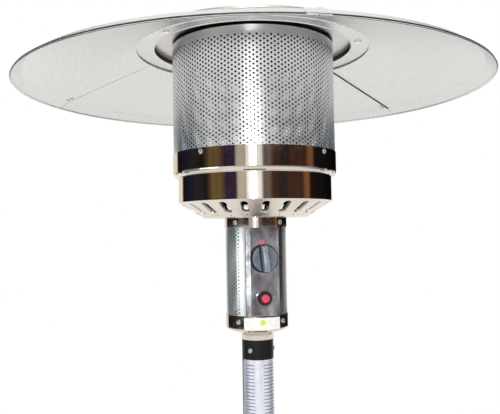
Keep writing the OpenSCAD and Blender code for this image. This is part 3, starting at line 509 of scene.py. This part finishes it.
screen_low, screen_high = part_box("emitter_screen")[0][2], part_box("emitter_screen")[1][2]
columns, rows, pitch = 156, 25, 7.25 * MM
step = 2 * math.pi * EMITTER_R / columns
foot = screen_high - 12 * MM - (rows + 0.5) * pitch
emitter_mesh = rolled_sheet(
    "emitter_mesh", joined([
        punched_cells(columns, rows, step, pitch, 1.9 * MM),
        margin(columns, step, screen_low - foot, 0),
        margin(columns, step, (rows + 0.5) * pitch, screen_high - foot)]),
    EMITTER_R, EMITTER_T, 0.0, foot, FINISH["emitter_steel"], slot="emitter_steel")
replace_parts(emitter_mesh, "emitter_screen")

PANEL_EDGE = math.asin(29.3 * MM / HOUSING_R)
shell_low, shell_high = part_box("control_shell")[0][2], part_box("control_shell")[1][2]
columns, rows, pitch = 50, 24, 6.12 * MM
shell_plain = 11.3 * math.pi / 180 * HOUSING_R
shell_arc = (2 * math.pi - 2 * PANEL_EDGE) * HOUSING_R
step = (shell_arc - shell_plain) / columns
foot = 1713.4 * MM
height = (rows + 0.5) * pitch
across = np.linspace(columns * step, shell_arc, 5)
up = np.arange(2 * rows + 2) * pitch / 2
levels = np.concatenate([[shell_low - foot], up, [shell_high - foot]])
plain_side = np.stack(np.meshgrid(across, levels), -1)
housing_mesh = rolled_sheet(
    "housing_mesh", joined([
        punched_cells(columns, rows, step, pitch, 1.5 * MM),
        margin(columns, step, shell_low - foot, 0),
        margin(columns, step, height, shell_high - foot),
        (plain_side.reshape(-1, 2), [quads(len(levels), len(across))])]),
    HOUSING_R, SHEET_T, PANEL_EDGE, foot, housing_stainless(), slot="satin_steel")
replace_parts(housing_mesh, "control_shell")


# Air slots of the bowl

BURNER_TURN = math.radians(-5)
SLOTS, SLOT_W, SLOT_L = 22, 14 * MM, 34 * MM
slope = math.atan2(CONE_H, BOWL_R - FLOOR_R)
slot_r = (FLOOR_R + BOWL_R) / 2 + 2 * MM


def slot_lips():
    """Turned-in lips of the air slots.

    The path is the slot's outline, a straight run with round ends. The profile goes 6 mm into the bowl,
    0.9 mm thick, with its front edge rounded over. Each slot is the same ring turned about the post.
    """
    profile = np.array([(0.05, 6.0), (0.05, 0.5), (0.12, 0.15), (0.35, 0.0), (0.75, 0.25), (1.0, 0.9),
                        (1.0, 6.0)]) * MM
    around = np.linspace(0, 2 * math.pi, 32, endpoint=False)
    turn = np.stack([np.cos(around), np.sin(around)], -1)
    run = (SLOT_L - SLOT_W) / 2 * np.where(turn[:, 1] >= 0, 1, -1)
    a = turn[:, None, 0] * (SLOT_W / 2 - profile[:, 0])
    b = turn[:, None, 1] * (SLOT_W / 2 - profile[:, 0]) + run[:, None]
    depth = profile[:, 1] + 0 * a
    out = slot_r + b * math.cos(slope) - depth * math.sin(slope)
    z = BOWL_Z + (slot_r - FLOOR_R) * math.tan(slope) + b * math.sin(slope) + depth * math.cos(slope)
    turns = (BURNER_TURN + 2 * math.pi * np.arange(SLOTS) / SLOTS)[:, None, None]
    points = np.stack([a * np.cos(turns) + out * np.sin(turns), a * np.sin(turns) - out * np.cos(turns),
                       z + 0 * turns], -1)
    count = len(around) * len(profile)
    ring = ring_quads(len(around), len(profile))
    faces = (np.arange(SLOTS)[:, None, None] * count + ring).reshape(-1, 4)
    return piece("slot_lips", points.reshape(-1, 3), [faces], lip_stainless(), slot="satin_steel")


slot_lips()


# Reflector's hem and seam

def carried(profile, path, across, up, wrap):
    """Points of a profile (across, up) carried along a path, each ring of it closed."""
    points = path[:, None] + profile[:, :1] * across[:, None] + profile[:, 1:] * up[:, None]
    return points.reshape(-1, 3), ring_quads(len(path), len(profile), wrap)


def hem(name, radius, height, wide, high, material):
    """Rolled hem: a small ellipse, wide and high across, carried round the post at a radius and height."""
    around = np.linspace(0, 2 * math.pi, 360, endpoint=False)
    turn = np.linspace(0, 2 * math.pi, 12, endpoint=False)
    profile = np.stack([wide / 2 * np.cos(turn), high / 2 * np.sin(turn)], -1)
    upright = np.tile([0, 0, 1.0], (len(around), 1))
    points, faces = carried(profile, round_post(around, radius, height), round_post(around, 1.0, 0.0),
                            upright, True)
    return piece(name, points, [faces], material, slot="reflector_aluminium")


bright_edge = turned_metal("bright_edge", "e4e3e0", "f4f3f1", 0.16, 0.26)
hem("rim_hem", RIM_R, RIM_Z, 3.4 * MM, 4.2 * MM, rolled_aluminium())
hem("segment_hem", 205.4 * MM, 2173.7 * MM, 3.0 * MM, 3.0 * MM, bright_edge)
hem("hub_hem", HUB_R + 0.7 * MM, 2176.8 * MM, 2.6 * MM, 2.6 * MM, bright_edge)

# The right seam: its angle from the panel, its ends, and how far the sheet falls between them
SEAM = math.radians(117.9)
SEAM_IN, SEAM_OUT, SEAM_TOP, SEAM_FALL = 205 * MM, 389 * MM, 2173.0 * MM, 55.0 * MM


def seam_shade_strip():
    """Strip of black in the right seam, a dark piece put in the seam's shadowed gap as painted shade: a flat
    ellipse carried straight down the seam.
    """
    r = np.linspace(SEAM_IN + 2 * MM, SEAM_OUT - 1 * MM, 24)
    z = SEAM_TOP - (r - SEAM_IN) * SEAM_FALL / (SEAM_OUT - SEAM_IN)
    turn = np.linspace(0, 2 * math.pi, 12, endpoint=False)
    profile = np.stack([1.1 * MM * np.cos(turn), 1.4 * MM * np.sin(turn)], -1)
    side = np.tile([math.cos(SEAM), math.sin(SEAM), 0], (len(r), 1))
    upright = np.tile([0, 0, 1.0], (len(r), 1))
    points, faces = carried(profile, round_post(SEAM + 0 * r, r, z), side, upright, False)
    end = np.arange(len(turn))
    ends = np.stack([end[::-1], end + (len(r) - 1) * len(turn)])
    return piece("seam_shade_strip", points, [faces[:, ::-1], ends], FINISH["foot_rubber"], slot="foot_rubber")


seam_shade_strip()


# Screws with a cross recess

def screws(name, places, length):
    """Pan-head screws at (angle, radius, height) on upright walls.

    The head is a dome over a short rim, and its height falls inside a cross that gets shallower away
    from the middle. The shank goes straight in.
    """
    ring = np.concatenate([np.linspace(0.1, 3.9, 12), [4.2, 4.2, 2.0, 2.0]]) * MM
    around = np.linspace(0, 2 * math.pi, 48, endpoint=False)
    x, y = ring[:, None] * np.cos(around), ring[:, None] * np.sin(around)
    dome = 0.8 * MM + 1.4 * MM * np.sqrt(1 - np.minimum(ring / (4.2 * MM), 1) ** 2)
    cross = np.clip((0.75 * MM - np.minimum(abs(x), abs(y))) / (0.35 * MM), 0, 1)
    reach = np.clip((2.5 * MM - ring) / (1.2 * MM), 0, 1)
    lift = dome[:, None] - 1.2 * MM * cross * reach[:, None]
    lift[-3:-1], lift[-1] = 0, -length
    tilt = math.radians(20)
    x, y = x * math.cos(tilt) - y * math.sin(tilt), x * math.sin(tilt) + y * math.cos(tilt)
    angle, radius, height = [np.array(column)[:, None, None] for column in zip(*places)]
    out = radius + lift
    points = np.stack([out * np.sin(angle) + x * np.cos(angle), -out * np.cos(angle) + x * np.sin(angle),
                       height + y + 0 * angle], -1)
    rings, sides = len(ring), len(around)
    grid = quads(rings, sides, wrap=True)[:, ::-1]
    middle = np.arange(sides)[None]
    offset = np.arange(len(places)) * rings * sides
    faces = [(offset[:, None, None] + grid).reshape(-1, 4), offset[:, None] + middle,
             offset[:, None] + middle[:, ::-1] + (rings - 1) * sides]
    return piece(name, points.reshape(-1, 3), faces, FINISH["zinc_steel"], slot="zinc_steel")


SQUARE = np.radians([45, 135, 225, 315])
THIRDS = np.radians([0, 120, 240])
places = [(a + math.radians(turn), radius * MM, height * MM)
          for turn, radius, height in ((-4, 54.3, 1704), (-8, 54.3, 1872), (-5, 143.2, 1986))
          for a in SQUARE]
places += [(a + math.radians(-41), 27.5 * MM, 1652 * MM) for a in THIRDS]
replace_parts(screws("pan_head_screws", places, 5 * MM), "head_screws")


# Labels and marks

def plate(name, radius, angles, heights, thick, material, slot, corner=0.0):
    """Thin plate bent round the post: a grid over its angles and heights, its corners cut round.

    Where a corner is given, each row is narrowed near the top and foot by a quarter circle.
    """
    u, v = np.linspace(-1, 1, 25), np.linspace(0, 1, 13)
    low, high = heights
    z = low + (high - low) * (1 - np.cos(math.pi * v)) / 2
    inset = np.minimum(z - low, high - z)
    cut = corner - np.sqrt(np.maximum(corner ** 2 - np.maximum(corner - inset, 0) ** 2, 0))
    middle, half = (angles[0] + angles[1]) / 2, (angles[1] - angles[0]) / 2
    angle = middle + u * (half - cut[:, None] / radius)
    height = np.repeat(z[:, None], len(u), 1)
    outer = round_post(angle, radius + thick, height).reshape(-1, 3)
    inner = round_post(angle, radius + 0.02 * MM, height).reshape(-1, 3)
    points, faces = walled(outer, inner, [quads(len(z), len(u))])
    return piece(name, points, faces, material, slot=slot)


def coated_film(name, first, second, metal, low, high):
    """Printed polyester film: smooth coat, very slightly wrinkled where it was rubbed down."""
    material, tree, surface = finish_of(name, Metallic=metal, IOR=1.5)
    tree.links.new(tint(tree, grain(tree, 0.01), first, second), surface.inputs["Base Color"])
    tree.links.new(between(tree, grain(tree, 0.004), low, high), surface.inputs["Roughness"])
    relief(tree, surface, grain(tree, 0.02, detail=1.0), 0.00006)
    return material


white_film = coated_film("white_film", "e9e7e2", "f2f0ec", 0.0, 0.3, 0.4)
silver_film = coated_film("silver_film", "e2e7f1", "f1f3f8", 0.85, 0.2, 0.3)
grey_ink = coated_film("grey_ink", "556079", "6a758d", 0.0, 0.4, 0.5)
lime_ink = coated_film("lime_ink", "c9d63c", "d6e048", 0.0, 0.35, 0.45)
red_ink = coated_film("red_ink", "b06470", "c07480", 0.0, 0.35, 0.45)

plate("cap_label", 54.3 * MM, np.radians([-37.3, 31.5]), (1691.2 * MM, 1711.8 * MM),
      0.25 * MM, white_film, "white_plastic", 1.5 * MM)


def spot(rings, sides, wide, high):
    """Rings of points about a middle, x and y of each, and their faces with a many-sided one inside."""
    ring, around = np.linspace(0.05, 1, rings), np.linspace(0, 2 * math.pi, sides, endpoint=False)
    x, y = wide / 2 * ring[:, None] * np.cos(around), high / 2 * ring[:, None] * np.sin(around)
    return x, y, [quads(rings, sides, wrap=True)[:, ::-1], np.arange(sides)[None]]


def dot(name, radius, angle, height, size, thick, material, slot):
    """Round spot bent round the post: rings of points about its middle."""
    x, y, faces = spot(6, 32, size, size)
    outer = round_post(angle + x / radius, radius + thick, height + y).reshape(-1, 3)
    inner = round_post(angle + x / radius, radius, height + y).reshape(-1, 3)
    points, faces = walled(outer, inner, faces)
    return piece(name, points, faces, material, slot=slot)


dot("label_dot", 54.56 * MM, math.radians(-3), 1704 * MM, 9.7 * MM, 0.06 * MM, lime_ink, "white_plastic")

LABEL_TOP, LABEL_FOOT = 1636 * MM, 1316 * MM
RULES, RULE_PITCH = 53, 5.8 * MM
plate("post_label", 27.5 * MM, np.radians([-80, 100]), (LABEL_FOOT, LABEL_TOP),
      0.2 * MM, silver_film, "satin_steel", 3 * MM)


def label_rules():
    """Plain ruled lines of the post's label, in two columns: short bent strips at an even pitch."""
    heights = LABEL_TOP - 9 * MM - RULE_PITCH * np.arange(RULES)
    columns = np.radians([[-62, -26], [8, 58]])
    u = np.linspace(0, 1, 13)
    angle = (columns[:, :1] + (columns[:, 1:] - columns[:, :1]) * u)[None, :, None]
    z = (heights[:, None] + np.array([-0.7, 0.7]) * MM)[:, None, :, None]
    angle, z = np.broadcast_arrays(angle, z)
    outer = round_post(angle, 27.76 * MM, z).reshape(-1, 3)
    inner = round_post(angle, 27.69 * MM, z).reshape(-1, 3)
    count = len(heights) * len(columns)
    faces = (np.arange(count)[:, None, None] * 2 * len(u) + quads(2, len(u))).reshape(-1, 4)
    points, faces = walled(outer, inner, [faces])
    return piece("label_rules", points, faces, grey_ink, slot="satin_steel")


label_rules()


def index_mark():
    """Plain red mark for the knob's off place: a flat ellipse printed on the panel above the knob."""
    x, z, faces = spot(5, 32, 12 * MM, 8 * MM)
    x, z = x - 3.5 * MM, z + 1838 * MM
    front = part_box("control_panel")[0][1]
    outer = np.stack([x, 0 * x + front - 0.06 * MM, z], -1).reshape(-1, 3)
    inner = np.stack([x, 0 * x + front + 0.05 * MM, z], -1).reshape(-1, 3)
    points, faces = walled(outer, inner, faces)
    return piece("index_mark", points, faces, red_ink, slot="satin_steel")


index_mark()


# Knob

KNOB_Z, KNOB_BACK = 1811 * MM, -59.5 * MM
KNOB_R, KNOB_D, SKIRT, GRIP = 22.5 * MM, 19 * MM, 8 * MM, 11 * MM
GRIP_LEAN = math.radians(5.5)


def smooth_step(x):
    """0 below 0 and 1 above 1, with a smooth rise between."""
    x = np.clip(x, 0, 1)
    return x * x * (3 - 2 * x)


def phenolic_knob():
    """Moulded phenolic: blue-grey, pale on the grip by a painted highlight, near-black in the grooves and on
    the skirt by painted shade.
    """
    material, tree, surface = finish_of("phenolic_knob", IOR=1.5)
    centred = add(tree, "ShaderNodeMapping", {
        "Vector": add(tree, "ShaderNodeTexCoord").outputs["Object"], "Location": (0, 0, -KNOB_Z)})
    turned = add(tree, "ShaderNodeMapping", {"Vector": centred.outputs[0], "Rotation": (0, GRIP_LEAN, 0),
                                             "Scale": (1, 0, 1)})
    axes = add(tree, "ShaderNodeSeparateXYZ", {0: turned.outputs[0]})
    side = sums(tree, "ABSOLUTE", axes.outputs["X"])
    # Near-black in the grooves beside the grip and round the skirt: painted shade.
    near = sums(tree, "ABSOLUTE", sums(tree, "SUBTRACT", side, GRIP / 2 + 1.5 * MM))
    groove = ramped(tree, near, 1.3 * MM, 0.5 * MM)
    away = add(tree, "ShaderNodeVectorMath", {0: turned.outputs[0]}, operation="LENGTH")
    skirt = ramped(tree, away.outputs["Value"], KNOB_R - 1.6 * MM, KNOB_R - 0.9 * MM)
    painted_shade = sums(tree, "MAXIMUM", groove, skirt)
    # Paler grip: painted highlight standing for the soft glints on the bar.
    painted_highlight_grip = ramped(tree, side, GRIP / 2 + 0.3 * MM, GRIP / 2 - 2.5 * MM)
    painted_highlight_tint = tint(tree, grain(tree, 0.009, (1, 1, 0.6)), "66727f", "a9b4c0")
    body = mixed(tree, painted_highlight_grip, tint(tree, grain(tree, 0.006), "59636f", "717d8a"), painted_highlight_tint)
    tree.links.new(mixed(tree, painted_shade, body, "131518"), surface.inputs["Base Color"])
    tree.links.new(between(tree, grain(tree, 0.003), 0.24, 0.36), surface.inputs["Roughness"])
    relief(tree, surface, grain(tree, 0.0008, detail=1.0), 0.00002)
    return material


def knob_shape():
    """Round knob as a height over a disc.

    The height is the skirt's, falling off round the rim, plus a bar whose sides rise steeply at half the
    grip's width from a shallow groove, with its ends rounded towards the knob's edge.
    """
    ring = KNOB_R * np.concatenate([np.linspace(0.01, 0.93, 42), np.linspace(0.945, 1, 6)])
    around = np.linspace(0, 2 * math.pi, 160, endpoint=False)
    x, y = ring[:, None] * np.cos(around), ring[:, None] * np.sin(around)
    across, along = [x * math.cos(GRIP_LEAN) + y * math.sin(GRIP_LEAN),
                     y * math.cos(GRIP_LEAN) - x * math.sin(GRIP_LEAN)]
    rim = SKIRT + 1.2 * MM * smooth_step((KNOB_R - ring[:, None]) / (3 * MM)) - 1.5 * MM
    rise = smooth_step((GRIP / 2 + 0.9 * MM - abs(across)) / (1.8 * MM))
    groove = 1.6 * MM * np.exp(-((abs(across) - GRIP / 2 - 1.6 * MM) / (1.1 * MM)) ** 2)
    dish = 1.2 * MM * np.clip(1 - (ring[:, None] / KNOB_R) ** 2, 0, 1)
    top = KNOB_D - 0.6 * MM - 1.8 * MM * (along / KNOB_R) ** 4 - 0.9 * MM * (2 * across / GRIP) ** 2
    edge = smooth_step((KNOB_R - ring[:, None]) / (2.2 * MM))
    face = rim - dish - groove * edge
    height = face + rise * edge * np.maximum(top - face, 0)
    skirt = np.array([0.7, 0.05, 0.0, 0.0])[:, None] * SKIRT + 0 * around
    widths = np.array([1.0, 1.0, 0.9, 0.2])[:, None] * KNOB_R
    x = np.concatenate([x, widths * np.cos(around)])
    y = np.concatenate([y, widths * np.sin(around)])
    height = np.concatenate([height, skirt])
    points = np.stack([x, KNOB_BACK - height, KNOB_Z + y], -1).reshape(-1, 3)
    middle = np.arange(len(around))[None]
    faces = [quads(len(height), len(around), wrap=True)[:, ::-1], middle,
             middle[:, ::-1] + (len(height) - 1) * len(around)]
    return piece("knob_shape", points, faces, phenolic_knob(), "knob", "knob_plastic", 40.0)


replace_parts(knob_shape(), "control_knob")


def knob_shade_ring():
    """Black ring behind the knob, a dark piece put in the shadow gap round the knob's rim as painted shade: a
    flat section 1 mm thick, its outer edge rounded, turned round.
    """
    profile = np.array([(10, 0), (23.4, 0), (23.9, 0.3), (23.9, 0.7), (23.4, 1.0), (10, 1.0)]) * MM
    around = np.linspace(0, 2 * math.pi, 96, endpoint=False)
    x, y = profile[:, 0, None] * np.cos(around), profile[:, 0, None] * np.sin(around)
    z = KNOB_BACK + profile[:, 1, None] + 0 * around
    points = np.stack([x, z, KNOB_Z + y], -1).reshape(-1, 3)
    faces = ring_quads(len(profile), len(around))
    return piece("knob_shade_ring", points, [faces], FINISH["foot_rubber"], "knob", "foot_rubber")


knob_shade_ring()


# Camera, floor and light

TOWARDS_CAMERA = -13.1
LENS_PIXELS, WIDTH_PIXELS, SENSOR = 640, 500, 36


def camera():
    """The photograph's camera: its place and its turn about three axes, and a lens of 640 pixels."""
    pan, rise, lean = -0.0068, math.radians(2.12), 0.0175
    level = Vector((math.cos(pan), -math.sin(pan), 0))
    upright = Vector((-math.sin(rise) * math.sin(pan), -math.sin(rise) * math.cos(pan), math.cos(rise)))
    ahead = Vector((math.cos(rise) * math.sin(pan), math.cos(rise) * math.cos(pan), math.sin(rise)))
    right = level * math.cos(lean) - upright * math.sin(lean)
    up = level * math.sin(lean) + upright * math.cos(lean)
    turn = Matrix((right, up, -ahead)).transposed().to_4x4()
    data = bpy.data.cameras.new("camera")
    data.sensor_width = SENSOR
    data.lens = SENSOR * LENS_PIXELS / WIDTH_PIXELS
    data.clip_end = 60
    obj = bpy.data.objects.new("camera", data)
    obj.matrix_world = (Matrix.Rotation(math.radians(TOWARDS_CAMERA), 4, "Z")
                        @ Matrix.Translation((-0.0016, -1.131, 1.858)) @ turn)
    bpy.context.scene.collection.objects.link(obj)
    bpy.context.scene.camera = obj


camera()


def seen_directly(tree):
    """1 for rays from the camera, from gloss and through glass, 0 for the light on matt surfaces."""
    path = add(tree, "ShaderNodeLightPath").outputs
    ray = sums(tree, "MAXIMUM", path["Is Camera Ray"], path["Is Glossy Ray"])
    return sums(tree, "MAXIMUM", ray, path["Is Transmission Ray"])


def stage_mesh(name, points, faces, material):
    """Mesh of the stage, which is no piece of the heater."""
    mesh = bpy.data.meshes.new(name)
    mesh.from_pydata(np.asarray(points, float).tolist(), [], faces.tolist())
    mesh.materials.append(material)
    obj = bpy.data.objects.new(name, mesh)
    bpy.context.scene.collection.objects.link(obj)
    return obj


def floor():
    """Pale matt floor, a disc of rings, that turns to plain white away from the heater.

    Gloss sees it three quarters white near the heater too, so that the chrome gets a bright underside.
    """
    material, tree, surface = finish_of("pale_floor", Base_Color="efe9e1", Roughness=0.9)
    tree.links.new(tint(tree, grain(tree, 0.4), "ece6dd", "f1ece5"), surface.inputs["Base Color"])
    away = add(tree, "ShaderNodeVectorMath", {0: place(tree)}, operation="LENGTH").outputs["Value"]
    fade = add(tree, "ShaderNodeMapRange", {"Value": away, "From Min": 1.4, "From Max": 4.2},
               interpolation_type="SMOOTHSTEP").outputs[0]
    plain = sums(tree, "MULTIPLY", fade, seen_directly(tree))
    glossy = add(tree, "ShaderNodeLightPath").outputs["Is Glossy Ray"]
    share = sums(tree, "MAXIMUM", plain, sums(tree, "MULTIPLY", glossy, 0.75))
    white = add(tree, "ShaderNodeEmission", {"Color": (1, 1, 1, 1), "Strength": 1.0})
    mix = add(tree, "ShaderNodeMixShader", {0: share, 1: surface.outputs[0], 2: white.outputs[0]})
    tree.links.new(mix.outputs[0], tree.nodes["Material Output"].inputs["Surface"])
    ring, around = np.linspace(0.05, 5, 8), np.linspace(0, 2 * math.pi, 96, endpoint=False)
    points = np.stack([ring[:, None] * np.cos(around), ring[:, None] * np.sin(around),
                       0 * ring[:, None] + 0 * around - 0.0005], -1).reshape(-1, 3)
    stage_mesh("floor", points, quads(8, 96, wrap=True), material)


floor()

# Cards that gloss sees: (angle from the camera, colour) stops, partly read off the photograph's chrome
CARDS = {
    "black": "0a0909", "near_black": "1d1819", "navy": "181a2e", "charcoal": "2b2727", "olive": "6a5638",
    "plum": "33263a", "beige": "bdb7aa", "white": "ffffff", "grey": "6f625c", "umber": "432e25",
    "rust": "7d5439", "sky": "f2fbff", "moss": "939c9b", "mist": "a9bcc4",
    "cream": "efe4d6", "slate": "979295", "ash": "b4b3b2",
    "silver": "cfd0d3", "steel": "8f959e",
}
HIGH = ((-136, "cream"), (-131, "black"), (-124, "near_black"), (-112, "navy"), (-90, "charcoal"),
        (-72, "near_black"), (-62, "olive"), (-48, "olive"), (-41, "plum"), (-26, "plum"), (-24, "beige"),
        (-12, "beige"), (-11, "white"), (8, "white"), (12, "grey"), (20, "grey"), (26, "umber"),
        (44, "charcoal"), (50, "umber"), (72, "umber"), (76, "rust"), (84, "rust"), (87, "near_black"),
        (136, "black"), (172, "black"), (176, "white"))
TOP = ((-180, "ash"), (-150, "steel"), (-84, "steel"), (-58, "ash"), (-40, "silver"), (-30, "white"),
       (26, "white"), (36, "silver"), (54, "ash"), (80, "steel"), (150, "steel"), (180, "ash"))
MID = ((-150, "white"), (-142, "moss"), (-96, "moss"), (-66, "mist"), (-58, "sky"), (-36, "white"),
       (-20, "silver"), (6, "silver"), (18, "slate"), (84, "slate"), (100, "charcoal"), (110, "charcoal"),
       (122, "slate"), (140, "ash"), (156, "white"))
LOW = ((-137, "cream"), (-131, "near_black"), (-90, "charcoal"), (-62, "umber"), (-40, "near_black"),
       (-24, "beige"), (-11, "white"), (7, "grey"), (24, "umber"), (85, "near_black"), (154, "near_black"),
       (162, "white"))
FOOT = ((-180, "white"), (-135, "white"), (-125, "steel"), (-96, "steel"), (-72, "silver"),
        (-58, "white"), (64, "white"), (78, "silver"), (100, "steel"), (125, "steel"), (135, "white"))
CARD_R = 3.0


def cards(name, row, low, high):
    """Row of studio cards all round the heater, which only gloss sees.

    Its colour follows the angle from the camera through the row's stops, with faint upright streaks.
    """
    material = bpy.data.materials.new(name)
    material.use_nodes = True
    tree = material.node_tree
    where = add(tree, "ShaderNodeTexCoord").outputs["Object"]
    facing = add(tree, "ShaderNodeMapping", {"Vector": where}, vector_type="POINT")
    facing.inputs["Rotation"].default_value = (0, 0, math.radians(-TOWARDS_CAMERA))
    axes = add(tree, "ShaderNodeSeparateXYZ", {0: facing.outputs[0]})
    back = sums(tree, "MULTIPLY", axes.outputs["Y"], -1.0)
    turn = sums(tree, "ARCTAN2", axes.outputs["X"], back)
    ramp = add(tree, "ShaderNodeValToRGB", {"Fac": ramped(tree, turn, -math.pi, math.pi)})
    stops = ramp.color_ramp.elements
    while len(stops) < len(row):
        stops.new(0.5)
    for stop, (angle, colour) in zip(stops, row):
        stop.position = (angle + 180) / 360
        stop.color = [*rgb(CARDS[colour]), 1]
    streaks = between(tree, grain(tree, 0.12, (1, 1, 0.02)), 0.8, 1.15)
    glow = add(tree, "ShaderNodeEmission", {"Color": ramp.outputs["Color"], "Strength": streaks})
    tree.links.new(glow.outputs[0], tree.nodes["Material Output"].inputs["Surface"])
    angle = np.linspace(0, 2 * math.pi, 96, endpoint=False)
    points = np.concatenate([round_post(angle, CARD_R, low), round_post(angle, CARD_R, high)])
    card = stage_mesh(name, points, quads(2, 96, wrap=True), material)
    card.visible_camera = card.visible_diffuse = card.visible_shadow = False
    card.visible_transmission = card.visible_volume_scatter = False


cards("top_cards", TOP, 2.42, 4.6)
cards("high_cards", HIGH, 1.878, 2.42)
cards("mid_cards", MID, 1.34, 1.878)
cards("low_cards", LOW, 1.215, 1.34)
cards("foot_cards", FOOT, 0.15, 1.1)


def lamp(name, place_at, aim, size, power, glossy=False, tall=None):
    """Soft lamp at place_at that points at aim: round, or upright and as tall as tall says."""
    data = bpy.data.lights.new(name, "AREA")
    data.shape = "RECTANGLE" if tall else "DISK"
    data.size = size
    data.size_y = tall or size
    data.energy = power
    obj = bpy.data.objects.new(name, data)
    way = Vector(aim) - Vector(place_at)
    obj.matrix_world = Matrix.Translation(place_at) @ way.to_track_quat("-Z", "Y").to_matrix().to_4x4()
    obj.visible_glossy = glossy
    bpy.context.scene.collection.objects.link(obj)


def by_angle(angle, radius, height):
    """Place at an angle from the camera's side, in degrees towards the right of the view."""
    turn = math.radians(angle + TOWARDS_CAMERA)
    return (radius * math.sin(turn), -radius * math.cos(turn), height)


lamp("key_lamp", (-1.6, -2.6, 3.4), (0, 0, 1.6), 2.0, 38)
lamp("fill_lamp", (2.4, -1.6, 1.2), (0, 0, 1.8), 2.0, 18)
lamp("back_lamp", (0.5, 3.0, 3.0), (0, 0, 1.6), 2.0, 30)
lamp("camera_lamp", by_angle(-2, 1.35, 1.93), (0, 0, 1.9), 0.1, 3.2, glossy=True)
lamp("strip_lamp", by_angle(-2, 2.6, 2.9), (0, 0, 2.5), 0.4, 11, glossy=True, tall=1.9)
lamp("side_lamp", by_angle(-64, 2.8, 1.62), (0, 0, 1.8), 1.5, 3, glossy=True, tall=0.42)

world = bpy.data.worlds.new("studio")
world.use_nodes = True
bpy.context.scene.world = world
tree = world.node_tree
backdrop = tree.nodes["Background"]
backdrop.inputs["Color"].default_value = (1, 1, 1, 1)
tree.links.new(ramped(tree, seen_directly(tree), 0.0, 1.0, 0.55, 1.0), backdrop.inputs["Strength"])
bpy.context.scene.view_settings.view_transform = "Standard"
